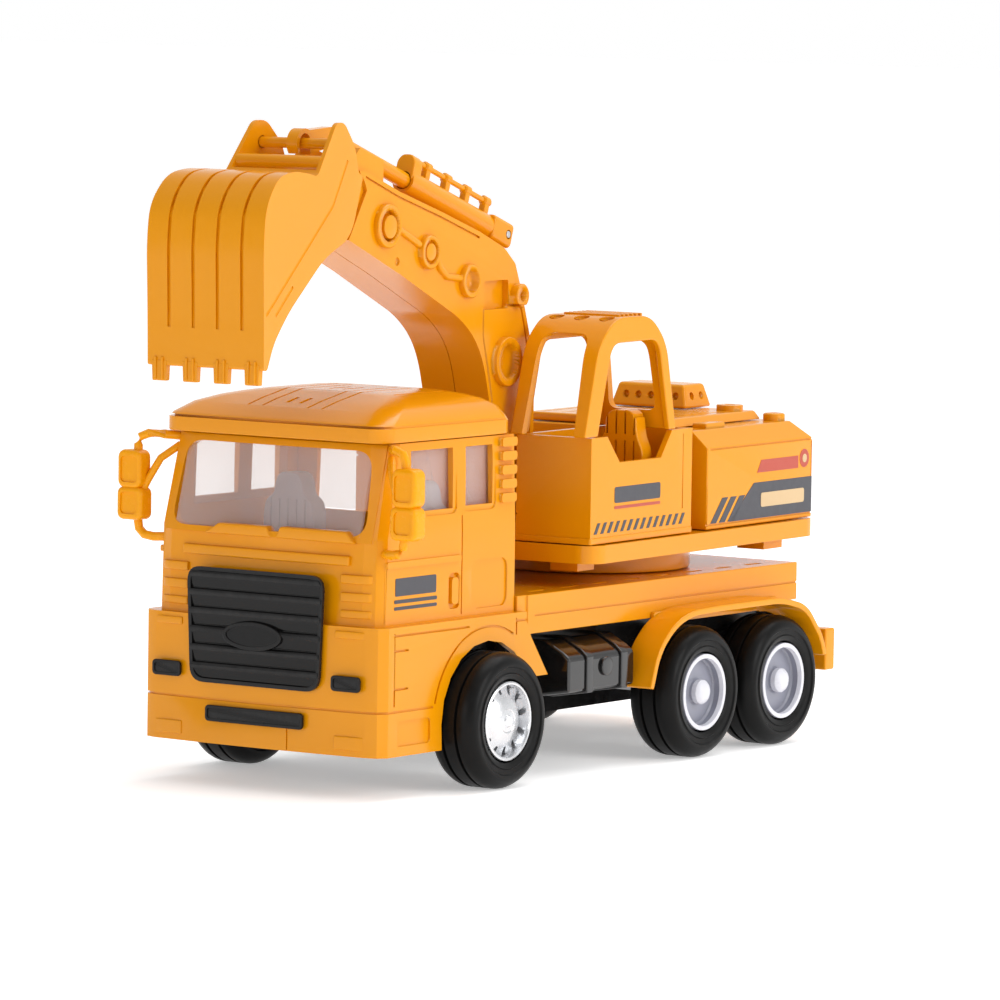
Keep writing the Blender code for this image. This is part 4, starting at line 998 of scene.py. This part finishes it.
def detail_cylinder():
    """Barrel, pipe with beaded clips and hooked rod end, laid out along the cylinder from its rear pin."""
    rear_y, rear_z = local_centre("cylinder_pivot_pin")
    along = (TURNED @ Matrix.Translation((0, rear_y * MM, rear_z * MM))
             @ Matrix.Rotation(-CYLINDER_SLOPE, 4, "X"))
    wall = [(2.9, -58.0), (3.8, -58.0), (4.0, -57.7), (4.0, -6.5), (2.9, -6.5)]
    barrel = lathe("y", (0, 0, 0), wall, 56, along, "cylinder_barrel_detail")
    weld(barrel, soft(prism("y", rounded((-4.2, -4.0), (4.2, 4.0), 1.6), -9.0, 2.6), 0.7, 3))
    cut(barrel, box((-2.6, -6.0, -8.0), (2.6, 10.0, 8.0)))
    collar = round_corners([(-3.4, 0.0), (3.4, 0.0), (3.4, 6.4), (1.8, 8.4), (-1.8, 8.4), (-3.4, 6.4)], 1.6, 4)
    weld(barrel, soft(prism("y", collar, -58.4, -53.6), 0.8, 3))
    cut(barrel, rod("y", (0, 0, 0), 2.9, -70.0, -9.5, 40), rod("x", (0, 0, 0), 1.5, -20.0, 20.0, 24))
    settle(barrel, "cylinder_barrel")

    pipe = rod("y", (0, 0, 7.6), 0.9, -52.6, -8.0, 20, along, "hydraulic_pipe_detail")
    bead = [(0, -1.8), (1.1, -1.75), (1.6, -1.3), (1.6, 1.3), (1.1, 1.75), (0, 1.8)]
    for step in range(4):
        y = -10.5 - 12.0 * step
        clip = soft(box((-1.2, y - 1.3, 3.7), (1.2, y + 1.3, 7.6)), 0.4, 2)
        weld(pipe, clip, lathe("y", (0, y, 7.6), bead, 24))
    settle(pipe, "hydraulic_pipe")

    eye_y, eye_z = link_pivot
    start_y = rear_y - ROD_REACH * cos(CYLINDER_SLOPE)
    start_z = rear_z + ROD_REACH * sin(CYLINDER_SLOPE)
    hook = prism("x", arc(link_pivot, 4.5, -60, 240, 30), -1.9, 1.9, TURNED, "rod_end_eye_detail")
    stem = [(start_y, start_z + 3.0), (start_y, start_z - 3.0), (eye_y + 3.0, eye_z - 3.3),
            (eye_y + 2.0, eye_z + 3.9)]
    mouth = [(eye_y - 3.0, eye_z), (eye_y + 2.6, eye_z), (eye_y + 3.4, eye_z - 12), (eye_y - 3.8, eye_z - 12)]
    weld(hook, prism("x", stem, -1.9, 1.9))
    cut(hook, rod("x", (0, eye_y, eye_z), EYE_BORE, -20.0, 20.0, 32), prism("x", mouth, -20.0, 20.0))
    settle(soft(hook, 0.5, 3, 35.0), "rod_end_eye")
    settle(soft(copy_of("piston_rod", TURNED), 0.25, 2), "piston_rod")
    for node in ("bucket_link_pin", "bucket_pivot_pin", "boom_pivot_pin", "cylinder_pivot_pin"):
        settle(soft(copy_of(node, TURNED), 0.3, 2), node)


# Stage, light and camera ----------------------------------------------
def make_stage():
    """A wide pale floor, the world and three softboxes."""
    floor = box((-9000, -9000, -0.3), (9000, 9000, -0.05), name="studio_floor")
    material, _, shader = new_material("studio_floor")
    fill(shader, {"Base Color": (1, 1, 1, 1), "Roughness": 0.9, "Emission Color": (1, 1, 1, 1),
                  "Emission Strength": 0.36})
    floor.data.materials.append(material)
    make_world()
    add_softbox("left_softbox", (1.2, 0.1, 0.6), (0.6, 0.8), 6.0)
    add_softbox("top_softbox", (0.15, 0.5, 1.3), (1.1, 1.1), 9.0)
    add_softbox("front_softbox", (0.1, -1.3, 0.4), (0.7, 0.5), 2.4)


def make_world():
    """A white backdrop whose light is weaker from overhead and from the front, as in a small studio."""
    world = bpy.data.worlds.new("studio")
    bpy.context.scene.world = world
    world.use_nodes = True
    sky = world.node_tree
    direction = made(sky, "ShaderNodeTexCoord", "Generated")
    height = made(sky, "ShaderNodeSeparateXYZ", "Z", {0: direction})
    frontward = made(sky, "ShaderNodeVectorMath", "Value", {0: direction, 1: (-0.3, -0.95, 0.0)},
                     operation="DOT_PRODUCT")
    dimmed = made(sky, "ShaderNodeMath", "Value", {
        0: ranged(sky, height, (0.10, 0.45), (1.0, 0.72)),
        1: ranged(sky, frontward, (0.0, 0.9), (1.0, 0.45))}, operation="MULTIPLY")
    seen = made(sky, "ShaderNodeLightPath", "Is Camera Ray")
    backdrop = made(sky, "ShaderNodeMath", "Value", {0: dimmed, 1: seen}, operation="MAXIMUM")
    fill(sky.nodes["Background"], {"Color": (1, 1, 1, 1), "Strength": backdrop})


def add_softbox(name, place, size, power):
    """A rectangular lamp that looks at the middle of the toy."""
    light = bpy.data.lights.new(name, "AREA")
    light.shape = "RECTANGLE"
    light.size, light.size_y = size
    light.energy = power
    lamp = new_object(name, light)
    lamp.location = place
    lamp.rotation_mode = "QUATERNION"
    lamp.rotation_quaternion = (Vector((0, 0.02, 0.09)) - Vector(place)).to_track_quat("-Z", "Y")


def make_camera():
    """A long lens at the left front of the truck, slightly above the deck's height."""
    azimuth, elevation, roll = radians(35.15), radians(4.8), radians(-0.86)
    distance = 2.222
    aim = Vector((0, 0.0249, 0.0812))
    right = Vector((cos(azimuth), sin(azimuth), 0))
    forward = Vector((-sin(azimuth) * cos(elevation), cos(azimuth) * cos(elevation), -sin(elevation)))
    up = right.cross(forward)
    camera_right = right * cos(roll) - up * sin(roll)
    camera_up = right * sin(roll) + up * cos(roll)
    data = bpy.data.cameras.new("photo_view")
    data.sensor_width = 36.0
    data.lens = 252.0
    data.clip_end = 50.0
    camera = new_object("photo_view", data)
    columns = Matrix((camera_right, camera_up, -forward)).transposed()
    camera.matrix_world = Matrix.Translation(aim - forward * distance) @ columns.to_4x4()
    bpy.context.scene.camera = camera


bpy.context.scene.view_settings.view_transform = "Standard"
make_camera()
make_stage()
for build in (make_wheels, detail_cab, detail_mirrors, detail_front_inserts, detail_cab_inside, detail_deck,
              detail_operator_cab, detail_engine_bay, detail_boom, detail_bucket, detail_cylinder):
    build()
for node, piece in NODES.items():
    for slot in piece.material_slots:
        slot.material = BY_SLOT[SLOT_OF[node]]
